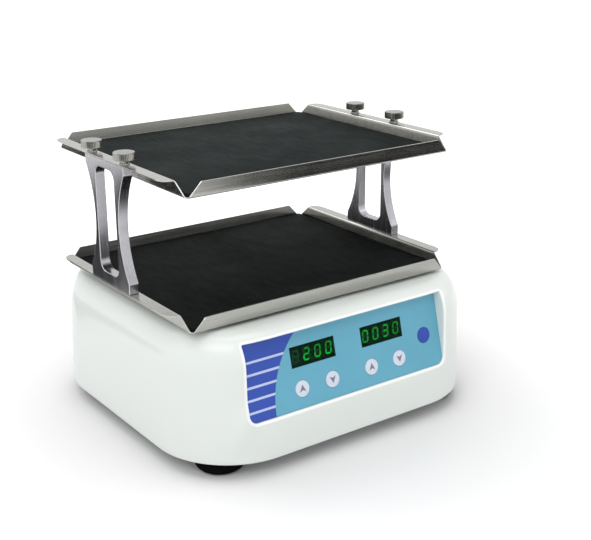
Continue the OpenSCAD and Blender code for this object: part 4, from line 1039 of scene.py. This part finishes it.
def dress():
    # every piece and every node takes the finish of its slot
    slotOf = {part["node"]: part["material_slot"] for part in frame["record"]["subparts"]}
    for name, piece in nodes.items():
        piece.data.materials.clear()
        piece.data.materials.append(finishes[slotOf[name]])
    for piece in bpy.context.scene.objects:
        finish = piece.get("finish") or piece.get("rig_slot")
        if finish and piece.name not in nodes:
            piece.data.materials.append(finishes[finish])


# painted highlight: near white along the recess's rim
paintRimHighlight(finishes["housing_white"], (0.97, 0.98, 0.97))
dress()
print("finishes set")


studioShape = {
    "floor": 1.8, "floorSteps": 9, "paper": 0.76, "worldLight": 0.6,
    "glow": (0.02, 0.55), "glowReach": (0.2, 0.62),   # the paper's own light, near the machine and far from it
    "cards": {"card_right": (0.62, -0.62, 0.9, 0.5), "card_left": (-0.56, 0.64, 0.62, 0.66)},
    "cardHeight": 0.004,
    "camera": (-0.6062, -0.8951, 0.5021), "azimuth": 35.952, "elevation": 18.866, "roll": -0.287, "lens": 66.70,
}
lampShape = {                                # where it hangs, what it points at, its size and its watts
    "key_light": ((-1.5, -1.3, 2.0), (0, 0, 0.1), (1.6, 1.2), 19),
    "back_light": ((-0.8, 1.7, 2.0), (0, 0, 0.1), (1.8, 1.0), 16),
    "front_light": ((-0.3, -2.0, 0.6), (0, 0, 0.1), (1.8, 1.0), 2.5),
    "left_light": ((-2.2, 0.5, 0.9), (0, 0, 0.1), (1.6, 1.0), 2),
    "top_light": ((0, 0, 2.3), (0, 0, 0), (1.6, 1.6), 17),
    "right_light": ((1.9, -0.9, 1.2), (0, 0, 0.12), (1.0, 1.6), 6),
}


def backgroundRays(tree):
    # 1 for the rays that show the background: the camera's, and those that metal and glass send on
    rays = tree.nodes.new("ShaderNodeLightPath").outputs
    return maths(tree, "MAXIMUM", rays["Is Camera Ray"],
                 maths(tree, "MAXIMUM", rays["Is Glossy Ray"], rays["Is Transmission Ray"]))


def makeFloor():
    # a wide flat sheet of paper under the machine
    s = studioShape
    t = np.linspace(-s["floor"], s["floor"], s["floorSteps"])
    x, y = np.meshgrid(t, t)
    floor = makePiece("studio_floor", [(np.stack([x, y, 0 * x], -1), gridFaces(len(t), len(t)))])
    material, tree, shader = newFinish("studio_paper", (s["paper"],) * 3, 0.8, **{"Specular IOR Level": 0.0})
    # light of its own where the background shows, growing outward, keeps the paper white and leaves the shadow
    # its depth
    away = tree.nodes.new("ShaderNodeVectorMath")
    away.operation = "LENGTH"
    tree.links.new(placed(tree), away.inputs[0])
    glow = spread(tree, away.outputs["Value"], *s["glow"], *s["glowReach"])
    shader.inputs["Emission Color"].default_value = (1, 1, 1, 1)
    tree.links.new(maths(tree, "MULTIPLY", backgroundRays(tree), glow), shader.inputs["Emission Strength"])
    floor.data.materials.append(material)


def makeCards():
    # black cards lying to the right and behind on the left, seen only in the steel's reflections
    material, _, _ = newFinish("card_black", (0.01, 0.01, 0.01), 0.8, **{"Specular IOR Level": 0.0})
    for name, (x, y, width, depth) in studioShape["cards"].items():
        corners = atHeight(boxLoop(x, y, width, depth), studioShape["cardHeight"])
        card = makePiece(name, [(corners, [(0, 1, 2, 3)])])
        card.data.materials.append(material)
        card.visible_camera = card.visible_diffuse = card.visible_shadow = card.visible_transmission = False


def makeLamps():
    for name, (at, aim, size, power) in lampShape.items():
        lamp = bpy.data.lights.new(name, "AREA")
        lamp.shape = "RECTANGLE"
        lamp.size, lamp.size_y = size
        lamp.energy = power
        holder = bpy.data.objects.new(name, lamp)
        facing = (Vector(aim) - Vector(at)).to_track_quat("-Z", "Y").to_matrix().to_4x4()
        holder.matrix_world = Matrix.Translation(at) @ facing
        bpy.context.scene.collection.objects.link(holder)


def makeCamera():
    # the level direction, then the tilt, then the roll about the line of sight
    s = studioShape
    a, e, r = (math.radians(s[k]) for k in ("azimuth", "elevation", "roll"))
    ahead = Vector((math.sin(a), math.cos(a), 0))
    look = ahead * math.cos(e) - Vector((0, 0, math.sin(e)))
    up = ahead * math.sin(e) + Vector((0, 0, math.cos(e)))
    right = Vector((math.cos(a), -math.sin(a), 0))
    right, up = right * math.cos(r) + up * math.sin(r), up * math.cos(r) - right * math.sin(r)
    data = bpy.data.cameras.new("camera")
    data.lens = s["lens"]
    data.sensor_width = 36
    data.sensor_fit = "HORIZONTAL"
    data.clip_start, data.clip_end = 0.05, 30
    camera = bpy.data.objects.new("camera", data)
    camera.matrix_world = Matrix.Translation(s["camera"]) @ Matrix((right, up, -look)).transposed().to_4x4()
    bpy.context.scene.collection.objects.link(camera)
    bpy.context.scene.camera = camera


def makeWorld():
    # a plain level of light on everything, and pure white where the background shows
    world = bpy.data.worlds.new("studio")
    bpy.context.scene.world = world
    world.use_nodes = True
    tree = world.node_tree
    light = tree.nodes["Background"]
    light.inputs["Color"].default_value = (1, 1, 1, 1)
    light.inputs["Strength"].default_value = studioShape["worldLight"]
    white = addNode(tree, "ShaderNodeBackground", {"Color": (1, 1, 1, 1), "Strength": 1.0})
    sources = {0: backgroundRays(tree), 1: light.outputs[0], 2: white.outputs[0]}
    mix = addNode(tree, "ShaderNodeMixShader", links=sources)
    tree.links.new(mix.outputs[0], tree.nodes["World Output"].inputs["Surface"])


makeFloor()
makeCards()
makeCamera()
makeWorld()
makeLamps()
bpy.context.scene.view_settings.view_transform = "Standard"
print("studio made")
